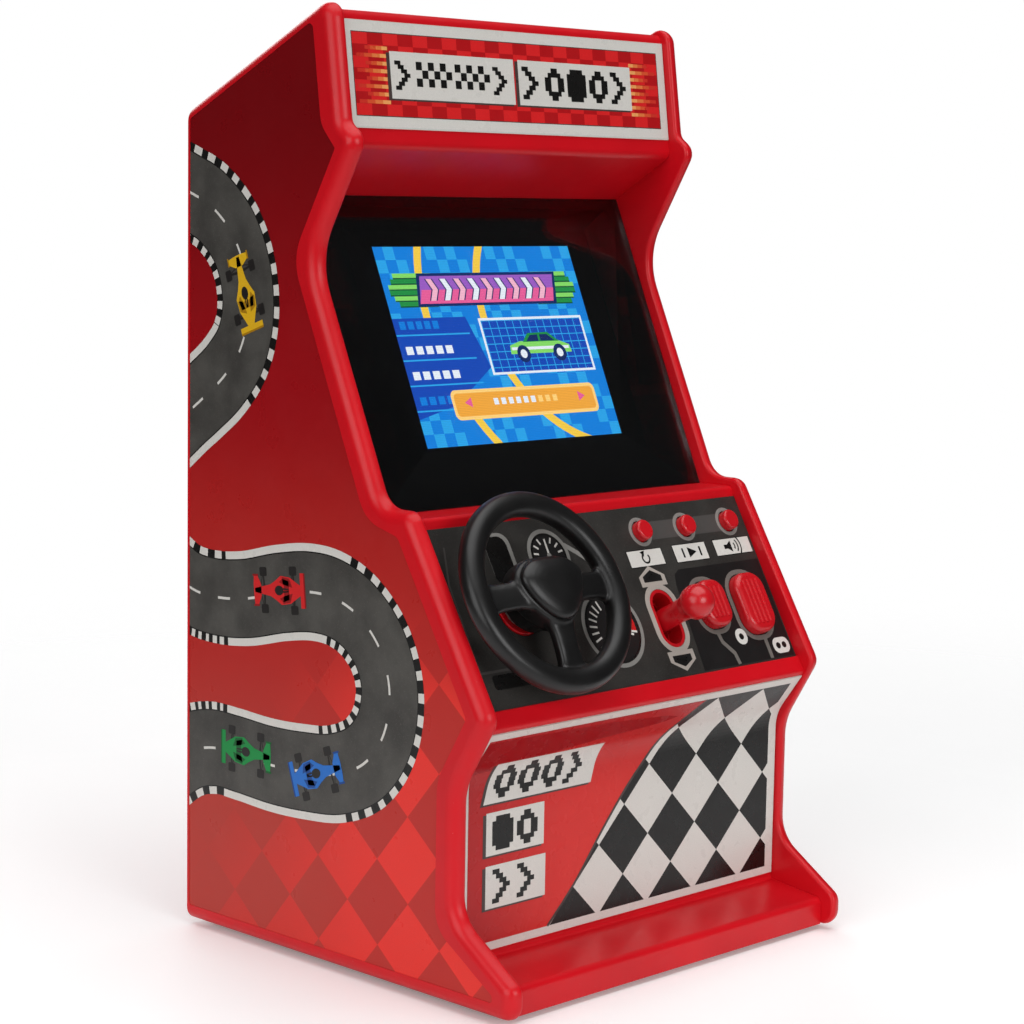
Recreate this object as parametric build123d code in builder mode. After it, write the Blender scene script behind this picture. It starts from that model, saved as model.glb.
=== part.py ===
"""Tabletop racing arcade cabinet, about 86 x 82 x 162 mm, as separate pieces in millimetres.

The origin is the centre of the footprint on the plane that the rubber feet stand on.
+X is to the player's right, -Y is towards the player and +Z is up.
"""

from build123d import *
from math import atan2, cos, hypot, radians, sin, tan
import os

os.makedirs("parts", exist_ok=True)

# Cabinet
WIDTH = 86.0
PANEL = 3.0  # thickness of a side panel
INNER = WIDTH / 2 - PANEL  # distance of the side panels' inner faces from the middle
REAR = 41.0
UNDERSIDE = 1.0  # height of the cabinet's underside
SHELL = 1.8  # wall of the front fascia, the rear cover and the base
BEAD_OUTER = 2.25  # rounding of a side panel's edge, outside
BEAD_INNER = 0.7
LABEL = 0.2  # thickness of a vinyl label
LABEL_RECESS = 0.3
SLIP = 0.2  # gap all round a piece that drops into a recess
BACK = 40.4  # outer face of the rear cover
BACK_INNER = BACK - SHELL

# Screen
WINDOW_DEPTH = 1.5  # thickness of the acrylic window
MASK_DEPTH = 0.15
SEAT_DEPTH = WINDOW_DEPTH + MASK_DEPTH
LCD_VIEW = (48.96, 36.72)  # lit area of a 2.4 inch screen
LCD_BODY = (60.3, 42.7)
LCD_CENTRE = (-0.95, -27.55)
LCD_GLASS_DEPTH = 1.1
LCD_TRAY_DEPTH = 1.5
MAIN_BOARD = (72.0, 46.0)
SOCKET = (16.0, 4.0)
SOCKET_HEIGHT = 2.2
SOCKET_DROP = 18.5  # below the main board's middle
BOARD_THICK = 1.2

# Controls on the deck. A place is (across, up the slope from the deck's top edge).
OVERLAY = 0.25  # thickness of the printed sheet on the deck
DECK_UNDER = OVERLAY + SHELL  # depth of the deck's underside
BOARD_DEPTH = 9.5  # depth of the control board's upper face
SHEET = 0.8  # silicone sheet on the board
DOME_HEIGHT = 1.4
DOME_DEPTH = BOARD_DEPTH - SHEET - DOME_HEIGHT
PRESS_ROOM = 0.05  # what is left between a pressed stem and its dome
ROUND_BUTTONS = {"reset": (11.55, -4.8), "start": (23.3, -4.8), "volume": (35.1, -4.8)}
ROUND_RADIUS = 1.85
ROUND_STANDS = 1.6
ROUND_TRAVEL = 0.8
PILLS = {"a": (22.2, -20.0, 6.8, 8.9), "b": (32.7, -21.0, 7.7, 11.5)}  # place, width, length
PILL_STANDS = 2.1
PILL_TRAVEL = 1.0
FLANGE = 0.8  # reach and thickness of the flange under a button
LEVER_PLACE = (10.2, -21.1)
LEVER_KNOB_HEIGHT = 7.6
LEVER_PIVOT = 4.9  # depth of the lever's pin
WHEEL_PLACE = (-24.2, -15.5)
WHEEL_BASE = 5.4  # height of the rim's underside above the deck
SHAFT_RADIUS = 2.2
COLLAR_RADIUS = 4.6
RUNNING = 0.05  # radial clearance of a turning fit

# Batteries and back
CELL_RADIUS = 7.1
CELL_LENGTH = 49.5
CELL_NUB = 1.0
CELL_NUB_RADIUS = 2.6
CELL_EDGE = 0.6
CELL_HEIGHTS = (19.8, 35.0, 50.2)
CELL_Y = 30.0
DOOR_WIDTH = 64.0
DOOR_LOW = 9.0
DOOR_HIGH = 63.0
DOOR_THICK = 1.6
DOOR_GAP = 0.25
DOOR_PIN_RADIUS = 0.6
DOOR_PIN_HALF = 32.7  # the hinge pins' ends, each side of the middle
DOOR_AXIS_Y = BACK - DOOR_THICK / 2
DOOR_AXIS_Z = DOOR_LOW + DOOR_GAP + DOOR_THICK / 2
SPEAKER_HEIGHT = 112.0
SPEAKER_RADIUS = 14.0
SWITCH_PLACE = (22.0, 78.0)  # across and up
SWITCH_TRAVEL = 3.0
REAR_SCREW_HEIGHTS = (14.0, 76.0, 134.0)
BASE_SCREW_PLACES = (-17.0, 10.0)
BOSS_X = 37.0
SCREW_RADIUS = 1.1
PILOT_RADIUS = 1.2
BOSS_RADIUS = 2.3
HEAD_RADIUS = 2.1
HOLE_SLACK = 0.15  # what a screw hole is wider than the screw, on the radius
HOLE_RADIUS = SCREW_RADIUS + HOLE_SLACK
HEAD_SLACK = 0.2
SINK_ANGLE = 90
SINK_EXTRA = 0.5  # how far a countersunk hole runs past its wall
CUT_OVER = 1.0  # how far outside a face a cut starts
CUT_THROUGH = 2.0  # how far a cut runs past the wall
REAR_BOSS_LENGTH = 9.0
BASE_BOSS_LENGTH = 7.0
WEB_WIDTH = 2.6  # of the web between a boss and its side panel
WEB_OUT = 1.2
REAR_SCREW_LENGTH = 8.0
BASE_SCREW_LENGTH = 7.0
DOOR_SCREW_LENGTH = 5.0
MAIN_SCREW_LENGTH = 2.25
CONTROL_SCREW_LENGTH = 5.0


def sloped_plane(top, bottom):
    """Plane through two (y, z) points: x to the right, y up the slope, z outward, origin at the top."""
    length = hypot(top[0] - bottom[0], top[1] - bottom[1])
    up_y = (top[0] - bottom[0]) / length
    up_z = (top[1] - bottom[1]) / length
    return Plane(origin=(0, *top), x_dir=(1, 0, 0), z_dir=(0, -up_z, up_y)), length


def side_point(plane, up, depth):
    """(y, z) of a place so far up a sloped plane and so deep behind it."""
    point = plane.from_local_coords(Vector(0, up, -depth))
    return point.Y, point.Z


def outline(points, plane=Plane.XY):
    """Sketch with the given corners, each (across, up, corner radius)."""
    with BuildSketch(plane) as shape:
        with BuildLine():
            Polyline(*[(a, b) for a, b, _ in points], close=True)
        make_face()
        for a, b, radius in points:
            if radius:
                fillet(vertices().sort_by_distance(Vector(a, b))[0], radius)
    return shape.sketch


def strip(points, plane, thickness):
    """Sketch of a thin bent strip that follows the given (across, up) points."""
    with BuildSketch(plane) as shape:
        with BuildLine():
            Polyline(*points)
        trace(line_width=thickness)
    return shape.sketch


def finish(builder, name):
    builder.part.label = name
    export_step(builder.part, f"parts/{name}.step")


MARQUEE, MARQUEE_LENGTH = sloped_plane((5.27, 159.8), (2.97, 142.08))
WINDOW, WINDOW_LENGTH = sloped_plane((15.67, 131.04), (-6.99, 78.84))
DECK, DECK_LENGTH = sloped_plane((-15.14, 77.18), (-30.84, 49.36))

# Silhouette of a side panel, from the top of the marquee down the front and back along the base
ROOF_REAR_Z = 145.7
PANEL_OUTLINE = [
    (4.1, 163.8, 2.8),
    (1.2, 142.9, 2.0),
    (-2.4, 140.2, 2.7),
    (8.9, 120.4, 11.8),
    (-9.05, 80.4, 5.0),
    (-15.9, 80.4, 2.7),
    (-34.7, 48.7, 2.7),
    (-27.6, 36.7, 10.0),
    (-27.6, 15.5, 6.6),
    (-41.0, 6.6, 2.6),
    (-41.0, 1.0, 2.8),
]
# The label's outline stands in from the panel's front edge
SIDE_LABEL_OUTLINE = [
    (40.5, 143.7, 0.8),
    (8.4, 159.4, 1.0),
    (6.1, 142.4, 5.0),
    (2.6, 138.6, 0.4),
    (13.0, 120.4, 8.0),
    (-5.6, 78.2, 7.0),
    (-13.4, 76.2, 2.0),
    (-29.9, 48.7, 1.0),
    (-23.4, 37.6, 8.0),
    (-23.4, 13.4, 6.0),
    (-36.7, 5.0, 1.0),
    (-36.7, 3.8, 0.5),
    (40.5, 3.8, 0.5),
]
ROOF_EXTRA = 4.0  # the blank runs past the rear and is cut back there, which leaves that edge sharp


def roof_height(y, below=0.0):
    slope = (163.8 - ROOF_REAR_Z) / (REAR - 4.1)
    return ROOF_REAR_Z + (REAR - y) * slope - below


def make_side_panel(side, sign):
    """Side panel with a rounded bead along its edge, a recess for its label and bosses for screws."""
    blank_rear = REAR + ROOF_EXTRA
    blank = PANEL_OUTLINE + [(blank_rear, UNDERSIDE, 0), (blank_rear, roof_height(blank_rear), 0)]
    blank_face = outline(blank, Plane.YZ.offset(sign * INNER))
    rear_cut = [(-60, -20, 0), (REAR, -20, 0), (REAR, 145.9, 4.0), (34, 151.9, 0), (-60, 232, 0)]
    rear_face = outline(rear_cut, Plane.YZ.offset(sign * (INNER - 8)))
    label_face = outline(SIDE_LABEL_OUTLINE, Plane.YZ.offset(sign * WIDTH / 2))
    across = Axis.X if sign > 0 else -Axis.X
    boss_x = sign * BOSS_X
    rib_x = sign * (INNER - WEB_OUT)
    with BuildPart() as panel:
        extrude(blank_face, amount=sign * PANEL)
        fillet(faces().sort_by(across)[-1].edges(), BEAD_OUTER)
        fillet(faces().sort_by(across)[0].edges(), BEAD_INNER)
        with BuildSketch(Plane.XZ.offset(-BACK_INNER)):
            for height in REAR_SCREW_HEIGHTS:
                with Locations((boss_x, height)):
                    Circle(BOSS_RADIUS)
                with Locations((rib_x, height)):
                    Rectangle(WEB_WIDTH, 2 * BOSS_RADIUS)
                with Locations((boss_x, height)):
                    Circle(PILOT_RADIUS, mode=Mode.SUBTRACT)
        extrude(amount=REAR_BOSS_LENGTH)
        with BuildSketch(Plane.XY.offset(UNDERSIDE + SHELL)):
            for place in BASE_SCREW_PLACES:
                with Locations((boss_x, place)):
                    Circle(BOSS_RADIUS)
                with Locations((rib_x, place)):
                    Rectangle(WEB_WIDTH, 2 * BOSS_RADIUS)
                with Locations((boss_x, place)):
                    Circle(PILOT_RADIUS, mode=Mode.SUBTRACT)
        extrude(amount=BASE_BOSS_LENGTH)
        extrude(label_face, amount=-sign * LABEL_RECESS, mode=Mode.SUBTRACT)
        extrude(rear_face, amount=sign * (PANEL + 12), mode=Mode.INTERSECT)
    finish(panel, f"side_panel_{side}")
    with BuildPart() as label:
        extrude(label_face.moved(Location((sign * -LABEL_RECESS, 0, 0))), amount=sign * LABEL)
    finish(label, f"side_label_{side}")


for side_name, side_sign in (("left", -1), ("right", 1)):
    make_side_panel(side_name, side_sign)

# Front fascia: one bent shell from the roof's front edge over the marquee, the screen's seat, the deck
# and the lower front to the tread at the toe
ROOF_JOINT = 14.0  # where the fascia meets the rear cover
ROOF_STEP = 0.9  # how far the roof lies below the side panels' edges
LOWER_TOP = (-32.75, 46.8)
LOWER_BEND = (-26.45, 38.2)
LOWER_FOOT = (-26.45, 7.2)
LOWER_BEND_RADIUS = 8.0
seat_top = side_point(WINDOW, 0, SEAT_DEPTH)
seat_bottom = side_point(WINDOW, -WINDOW_LENGTH, SEAT_DEPTH)
seat_top_inner = side_point(WINDOW, 1.5, SEAT_DEPTH + SHELL)
seat_bottom_inner = side_point(WINDOW, -WINDOW_LENGTH, SEAT_DEPTH + SHELL)
deck_top = side_point(DECK, 0, OVERLAY)
deck_bottom = side_point(DECK, -DECK_LENGTH, OVERLAY)
band_top = side_point(DECK, -DECK_LENGTH, -0.35)
deck_top_inner = side_point(DECK, 0.2, DECK_UNDER)
deck_bottom_inner = side_point(DECK, -DECK_LENGTH - 0.6, DECK_UNDER)
FASCIA_OUTLINE = [
    (ROOF_JOINT, roof_height(ROOF_JOINT, ROOF_STEP), 0),
    (5.62, roof_height(5.62, ROOF_STEP), 1.4),
    (2.57, 139.0, 1.5),
    (15.67, 131.04, 0),
    (*seat_top, 0),
    (*seat_bottom, 0),
    (-6.99, 78.84, 0.4),
    (-14.55, 78.9, 0.8),
    (*deck_top, 0),
    (*deck_bottom, 0),
    (*band_top, 0.3),
    (*LOWER_TOP, 0.9),
    (*LOWER_BEND, LOWER_BEND_RADIUS),
    (*LOWER_FOOT, 0.8),
    (-38.2, 5.75, 1.2),
    (-38.2, UNDERSIDE, 0),
    (-36.4, UNDERSIDE, 0),
    (-36.4, 4.0, 0.5),
    (-24.65, 5.3, 0.5),
    (-24.65, 38.7, LOWER_BEND_RADIUS - SHELL),
    (-30.2, 46.4, 0),
    (*deck_bottom_inner, 0),
    (*deck_top_inner, 0),
    (-13.2, 77.1, 0),
    (*seat_bottom_inner, 0),
    (*seat_top_inner, 0),
    (4.8, 140.1, 0.5),
    (7.1, roof_height(7.1, ROOF_STEP + 2.0), 0.5),
    (ROOF_JOINT, roof_height(ROOF_JOINT, ROOF_STEP + 2.0), 0),
]
FASCIA_HALF = INNER - 0.02
DECK_BOSSES = [(-36.2, -3.4), (29.2, -4.8), (-36.2, -28.6), (16.2, -29.2)]
MAIN_BOSSES = [(-33.5, -9.0), (31.6, -9.0), (-33.5, -46.1), (31.6, -46.1)]
MAIN_BOARD_DEPTH = SEAT_DEPTH + LCD_GLASS_DEPTH + LCD_TRAY_DEPTH + 0.3
SLOT = (5.9, 10.8)  # outer width and length of the lever's cup
SLOT_GAP = 0.1
PILL_CORNER_LESS = 0.4  # what a pill hole's corner radius is less than half its width
DECK_BOSS_RADIUS = 1.9
DECK_PILOT_RADIUS = PILOT_RADIUS - 0.2
COLLAR_RISE = 0.3
COLLAR_EDGE = 0.2
with BuildPart() as fascia:
    extrude(outline(FASCIA_OUTLINE, Plane.YZ.offset(-FASCIA_HALF)), amount=2 * FASCIA_HALF)
    with BuildSketch(WINDOW.offset(-SEAT_DEPTH - SHELL)):
        with Locations(*MAIN_BOSSES):
            Circle(BOSS_RADIUS)
            Circle(PILOT_RADIUS, mode=Mode.SUBTRACT)
    extrude(amount=-(MAIN_BOARD_DEPTH - SEAT_DEPTH - SHELL))
    with BuildSketch(WINDOW.offset(-SEAT_DEPTH + 0.1)):
        with Locations(LCD_CENTRE):
            Rectangle(LCD_BODY[0] + 2 * SLIP, LCD_BODY[1] + 2 * SLIP)
    extrude(amount=-SHELL - 0.2, mode=Mode.SUBTRACT)
    with BuildSketch(DECK.offset(-DECK_UNDER)):
        with Locations(*DECK_BOSSES):
            Circle(DECK_BOSS_RADIUS)
            Circle(DECK_PILOT_RADIUS, mode=Mode.SUBTRACT)
    extrude(amount=-(BOARD_DEPTH - DECK_UNDER))
    with BuildSketch(DECK.offset(-OVERLAY)):
        with Locations(WHEEL_PLACE):
            Circle(COLLAR_RADIUS)
    extrude(amount=OVERLAY + COLLAR_RISE)
    collar_top = DECK.from_local_coords((*WHEEL_PLACE, COLLAR_RISE))
    fillet(edges().filter_by(GeomType.CIRCLE).sort_by_distance(collar_top)[0], COLLAR_EDGE)
    with BuildSketch(DECK.offset(CUT_OVER)):
        with Locations(WHEEL_PLACE):
            Circle(SHAFT_RADIUS + 1.4)
        with Locations(*ROUND_BUTTONS.values()):
            Circle(ROUND_RADIUS + SLIP)
        for across, up, width, length in PILLS.values():
            with Locations((across, up)):
                RectangleRounded(width + 2 * SLIP, length + 2 * SLIP, width / 2 - PILL_CORNER_LESS)
        with Locations(LEVER_PLACE):
            SlotOverall(SLOT[1] + SLOT_GAP, SLOT[0] + SLOT_GAP, rotation=90)
    extrude(amount=-DECK_UNDER - CUT_OVER - 0.2, mode=Mode.SUBTRACT)
finish(fascia, "front_fascia")

# Rear cover: roof behind the fascia and the flat back, with the openings for the door, the switch
# and the speaker
ROOF_THICK = 2.0
REAR_OUTLINE = [
    (ROOF_JOINT, roof_height(ROOF_JOINT, ROOF_STEP), 0),
    (BACK, roof_height(BACK, ROOF_STEP), 3.0),
    (BACK, UNDERSIDE, 0.8),
    (BACK_INNER, UNDERSIDE, 0),
    (BACK_INNER, roof_height(BACK_INNER, ROOF_STEP + ROOF_THICK), 1.2),
    (ROOF_JOINT, roof_height(ROOF_JOINT, ROOF_STEP + ROOF_THICK), 0),
]
GRILLE_ROWS = 7
GRILLE_PITCH = 3.2
back_plane = Plane(origin=(0, BACK, 0), x_dir=(-1, 0, 0), z_dir=(0, 1, 0))
SWITCH_SLOT = (8.0, 3.4)
GRILLE_SLOT = 1.5
GRILLE_FILL = 0.86  # share of the speaker's width that each slot spans
SPEAKER_RING = (0.4, 1.8)  # inside and outside of the round wall, beyond the speaker
SPEAKER_RING_HEIGHT = 3.5
PIN_END_GAP = 0.1
DOOR_CORNER = 1.5
with BuildPart() as rear:
    extrude(outline(REAR_OUTLINE, Plane.YZ.offset(-FASCIA_HALF)), amount=2 * FASCIA_HALF)
    with BuildSketch(back_plane.offset(CUT_OVER)):
        with Locations((0, (DOOR_LOW + DOOR_HIGH) / 2)):
            RectangleRounded(DOOR_WIDTH, DOOR_HIGH - DOOR_LOW, DOOR_CORNER)
        with Locations((-SWITCH_PLACE[0], SWITCH_PLACE[1])):
            Rectangle(*SWITCH_SLOT)
    extrude(amount=-SHELL - CUT_THROUGH, mode=Mode.SUBTRACT)
    with BuildSketch(back_plane.offset(CUT_OVER)):
        for row in range(GRILLE_ROWS):
            height = (row - (GRILLE_ROWS - 1) / 2) * GRILLE_PITCH
            with Locations((0, SPEAKER_HEIGHT + height)):
                SlotOverall(2 * (SPEAKER_RADIUS**2 - height**2) ** 0.5 * GRILLE_FILL, GRILLE_SLOT)
    extrude(amount=-SHELL - CUT_THROUGH, mode=Mode.SUBTRACT)
    with BuildSketch(back_plane.offset(-SHELL)):
        with Locations((0, SPEAKER_HEIGHT)):
            Circle(SPEAKER_RADIUS + SPEAKER_RING[1])
            Circle(SPEAKER_RADIUS + SPEAKER_RING[0], mode=Mode.SUBTRACT)
    extrude(amount=-SPEAKER_RING_HEIGHT)
    with BuildSketch(Plane.YZ.offset(-DOOR_PIN_HALF - PIN_END_GAP)):
        with Locations((DOOR_AXIS_Y, DOOR_AXIS_Z)):
            Circle(DOOR_PIN_RADIUS + RUNNING)
    extrude(amount=2 * (DOOR_PIN_HALF + PIN_END_GAP), mode=Mode.SUBTRACT)
    for height in REAR_SCREW_HEIGHTS:
        with Locations(back_plane):
            with Locations((BOSS_X, height), (-BOSS_X, height)):
                CounterSinkHole(HOLE_RADIUS, HEAD_RADIUS + HEAD_SLACK, SHELL + SINK_EXTRA, SINK_ANGLE)
finish(rear, "rear_cover")

# Base plate with shallow pockets for the rubber feet
FOOT_RADIUS = 5.0
FOOT_POCKET = 0.6
FOOT_PLACES = [(x, y) for x in (-32.0, 32.0) for y in (-30.5, 31.5)]
FOOT_EDGE = 0.3
BASE_FRONT = -36.4
with BuildPart() as base:
    with BuildSketch(Plane.XY.offset(UNDERSIDE)):
        with Locations((0, (BACK_INNER + BASE_FRONT) / 2)):
            Rectangle(2 * FASCIA_HALF, BACK_INNER - BASE_FRONT)
    extrude(amount=SHELL)
    with BuildSketch(Plane.XY.offset(UNDERSIDE)):
        with Locations(*FOOT_PLACES):
            Circle(FOOT_RADIUS + 0.1)
    extrude(amount=FOOT_POCKET, mode=Mode.SUBTRACT)
    with Locations(Plane.XY.offset(UNDERSIDE).rotated((180, 0, 0))):
        with Locations(*[(s * BOSS_X, -y) for s in (-1, 1) for y in BASE_SCREW_PLACES]):
            CounterSinkHole(HOLE_RADIUS, HEAD_RADIUS + HEAD_SLACK, SHELL + SINK_EXTRA, SINK_ANGLE)
finish(base, "base_plate")

for number, place in enumerate(FOOT_PLACES, start=1):
    with BuildPart() as foot:
        with BuildSketch(Plane.XY):
            with Locations(place):
                Circle(FOOT_RADIUS)
        extrude(amount=UNDERSIDE + FOOT_POCKET)
        chamfer(faces().sort_by(Axis.Z)[0].edges(), FOOT_EDGE)
    finish(foot, f"rubber_foot_{number}")

# Labels on the marquee and on the lower front, and the printed sheet on the deck
with BuildPart() as marquee_label:
    with BuildSketch(MARQUEE):
        with Locations((0, -MARQUEE_LENGTH / 2)):
            Rectangle(2 * FASCIA_HALF - 0.3, MARQUEE_LENGTH)
    extrude(amount=LABEL)
finish(marquee_label, "marquee_label")

lower_plane = sloped_plane(LOWER_TOP, LOWER_BEND)[0]
label_start = side_point(lower_plane, -0.9, 0)
label_start_out = side_point(lower_plane, -0.9, -LABEL)
lean = atan2(LOWER_BEND[0] - LOWER_TOP[0], LOWER_TOP[1] - LOWER_BEND[1])
label_bend_out = (LOWER_BEND[0] - LABEL, LOWER_BEND[1] - LABEL * tan(lean / 2))
LOWER_LABEL_OUTLINE = [
    (*label_start, 0),
    (*LOWER_BEND, LOWER_BEND_RADIUS),
    (LOWER_FOOT[0], 8.4, 0),
    (LOWER_FOOT[0] - LABEL, 8.4, 0),
    (*label_bend_out, LOWER_BEND_RADIUS - LABEL),
    (*label_start_out, 0),
]
with BuildPart() as lower_label:
    extrude(outline(LOWER_LABEL_OUTLINE, Plane.YZ.offset(-FASCIA_HALF + 0.15)), amount=2 * FASCIA_HALF - 0.3)
finish(lower_label, "lower_label")

with BuildPart() as overlay:
    with BuildSketch(DECK.offset(-OVERLAY)):
        with Locations((0, -DECK_LENGTH / 2)):
            Rectangle(2 * FASCIA_HALF - 0.2, DECK_LENGTH - 0.1)
        with Locations(WHEEL_PLACE):
            Circle(COLLAR_RADIUS + SLIP, mode=Mode.SUBTRACT)
        with Locations(*ROUND_BUTTONS.values()):
            Circle(ROUND_RADIUS + SLIP, mode=Mode.SUBTRACT)
        for across, up, width, length in PILLS.values():
            with Locations((across, up)):
                corner = width / 2 - PILL_CORNER_LESS
                RectangleRounded(width + 2 * SLIP, length + 2 * SLIP, corner, mode=Mode.SUBTRACT)
        with Locations(LEVER_PLACE):
            SlotOverall(SLOT[1] + SLOT_GAP, SLOT[0] + SLOT_GAP, rotation=90, mode=Mode.SUBTRACT)
    extrude(amount=OVERLAY)
finish(overlay, "deck_overlay")

# Screen: clear window, printed mask behind it, display glass, its backlight tray and the main board
with BuildPart() as window:
    with BuildSketch(WINDOW):
        with Locations((0, -WINDOW_LENGTH / 2)):
            Rectangle(2 * FASCIA_HALF - 0.1, WINDOW_LENGTH - 0.1)
    extrude(amount=-WINDOW_DEPTH)
    chamfer(faces().sort_by_distance(WINDOW.from_local_coords((0, -WINDOW_LENGTH / 2, 0)))[0].edges(), 0.12)
finish(window, "screen_window")

with BuildPart() as mask:
    with BuildSketch(WINDOW.offset(-WINDOW_DEPTH)):
        with Locations((0, -WINDOW_LENGTH / 2)):
            Rectangle(2 * FASCIA_HALF - 0.1, WINDOW_LENGTH - 0.1)
        with Locations(LCD_CENTRE):
            Rectangle(*LCD_VIEW, mode=Mode.SUBTRACT)
    extrude(amount=-MASK_DEPTH)
finish(mask, "window_mask")

with BuildPart() as glass:
    with BuildSketch(WINDOW.offset(-SEAT_DEPTH)):
        with Locations(LCD_CENTRE):
            Rectangle(*LCD_BODY)
    extrude(amount=-LCD_GLASS_DEPTH)
finish(glass, "lcd_glass")

with BuildPart() as tray:
    with BuildSketch(WINDOW.offset(-SEAT_DEPTH - LCD_GLASS_DEPTH)):
        with Locations(LCD_CENTRE):
            RectangleRounded(*LCD_BODY, 0.8)
    extrude(amount=-LCD_TRAY_DEPTH)
finish(tray, "lcd_backlight_tray")

board_centre = (LCD_CENTRE[0], (MAIN_BOSSES[0][1] + MAIN_BOSSES[2][1]) / 2)
with BuildPart() as main_board:
    with BuildSketch(WINDOW.offset(-MAIN_BOARD_DEPTH)):
        with Locations(board_centre):
            RectangleRounded(*MAIN_BOARD, 1.0)
        with Locations(*MAIN_BOSSES):
            Circle(HOLE_RADIUS, mode=Mode.SUBTRACT)
    extrude(amount=-BOARD_THICK)
finish(main_board, "main_board")

main_back = WINDOW.offset(-MAIN_BOARD_DEPTH - BOARD_THICK)
main_rear = Plane(origin=main_back.origin, x_dir=(-1, 0, 0), z_dir=-WINDOW.z_dir)
with BuildPart() as chip:
    with BuildSketch(main_back):
        with Locations(board_centre):
            Circle(6.5)
    extrude(amount=-1.4)
    fillet(faces().sort_by(Axis.Y)[-1].edges(), 1.1)
finish(chip, "processor_blob")

with BuildPart() as main_socket:
    with BuildSketch(main_back):
        with Locations((board_centre[0], board_centre[1] - SOCKET_DROP)):
            Rectangle(*SOCKET)
    extrude(amount=-SOCKET_HEIGHT)
finish(main_socket, "ribbon_socket")


DRIVE = (2.6, 0.5)  # arms of the cross-shaped recess in a screw's head
DRIVE_DEPTH = 0.5
PAN_HEIGHT = 1.2
PAN_DRIVE = (2.4, 0.5)
PAN_DRIVE_DEPTH = 0.6
PAN_THREAD_RADIUS = SCREW_RADIUS - 0.2


def make_screws(name, places, length):
    """Identical countersunk screws; a place is the plane of the head's face, facing out."""
    with BuildPart() as screws:
        for plane in places:
            with BuildSketch(plane):
                Circle(HEAD_RADIUS)
            extrude(amount=SCREW_RADIUS - HEAD_RADIUS, taper=45)
            with BuildSketch(plane.offset(SCREW_RADIUS - HEAD_RADIUS + 0.05)):
                Circle(SCREW_RADIUS)
            extrude(amount=-length)
            with BuildSketch(plane):
                Rectangle(*DRIVE)
                Rectangle(*DRIVE, rotation=90)
            extrude(amount=-DRIVE_DEPTH, mode=Mode.SUBTRACT)
    finish(screws, name)


def make_pan_screws(name, places, length):
    """Identical pan-head screws; a place is the plane under the head, pointing away from the thread."""
    with BuildPart() as screws:
        for plane in places:
            with BuildSketch(plane):
                Circle(HEAD_RADIUS)
            extrude(amount=PAN_HEIGHT)
            with BuildSketch(plane):
                Circle(PAN_THREAD_RADIUS)
            extrude(amount=-length)
            with BuildSketch(plane.offset(PAN_HEIGHT)):
                Rectangle(*PAN_DRIVE)
                Rectangle(*PAN_DRIVE, rotation=90)
            extrude(amount=-PAN_DRIVE_DEPTH, mode=Mode.SUBTRACT)
    finish(screws, name)


def raised(plane, across, up, height=0.0):
    """The plane moved to a place on it, and raised off it."""
    return Plane(origin=plane.from_local_coords((across, up, height)), x_dir=plane.x_dir, z_dir=plane.z_dir)


make_screws(
    "rear_cover_screws",
    [raised(back_plane, s * BOSS_X, height) for s in (-1, 1) for height in REAR_SCREW_HEIGHTS],
    REAR_SCREW_LENGTH,
)
under = Plane(origin=(0, 0, UNDERSIDE), x_dir=(1, 0, 0), z_dir=(0, 0, -1))
base_places = [raised(under, s * BOSS_X, -y) for s in (-1, 1) for y in BASE_SCREW_PLACES]
make_screws("base_screws", base_places, BASE_SCREW_LENGTH)
make_pan_screws("main_board_screws", [raised(main_rear, -x, y) for x, y in MAIN_BOSSES], MAIN_SCREW_LENGTH)

# Buttons: round caps and pedal-shaped pills, each with a flange that stops it under the deck
flange_top = -DECK_UNDER - 0.02
for name, place in ROUND_BUTTONS.items():
    with BuildPart() as button:
        with BuildSketch(DECK.offset(flange_top)):
            with Locations(place):
                Circle(ROUND_RADIUS)
        extrude(amount=ROUND_STANDS - flange_top)
        fillet(faces().sort_by_distance(DECK.from_local_coords((*place, ROUND_STANDS)))[0].edges(), 0.5)
        with BuildSketch(DECK.offset(flange_top)):
            with Locations(place):
                Circle(ROUND_RADIUS + FLANGE)
        extrude(amount=-FLANGE)
        with BuildSketch(DECK.offset(flange_top - FLANGE)):
            with Locations(place):
                Circle(1.0)
        extrude(amount=-(DOME_DEPTH + flange_top - FLANGE - ROUND_TRAVEL - PRESS_ROOM))
    finish(button, f"{name}_button")

RIB_RADIUS = 0.5
RIB_PITCH = 1.15
RIB_SINK = 0.3  # how far a rib's centre lies below the crown
RIB_PLACES = (-1.5, -0.5, 0.5, 1.5)
for name, (across, up, width, length) in PILLS.items():
    with BuildPart() as pill:
        with BuildSketch(DECK.offset(flange_top)):
            with Locations((across, up)):
                RectangleRounded(width, length, width / 2 - 0.6)
        extrude(amount=PILL_STANDS - flange_top)
        crown = faces().sort_by_distance(DECK.from_local_coords((across, up, PILL_STANDS)))[0]
        fillet(crown.edges(), 1.1)
        rib_height = PILL_STANDS - RIB_SINK
        with Locations(*[raised(DECK, across + n * RIB_PITCH, up, rib_height) for n in RIB_PLACES]):
            Cylinder(RIB_RADIUS, length - 3.2, rotation=(90, 0, 0))
        with BuildSketch(DECK.offset(flange_top)):
            with Locations((across, up)):
                RectangleRounded(width + 2 * FLANGE, length + 2 * FLANGE, width / 2 - 0.2)
        extrude(amount=-FLANGE)
        with BuildSketch(DECK.offset(flange_top - FLANGE)):
            with Locations((across, up)):
                Circle(1.4)
        extrude(amount=-(DOME_DEPTH + flange_top - FLANGE - PILL_TRAVEL - PRESS_ROOM))
    finish(pill, f"{name}_button")

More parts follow.
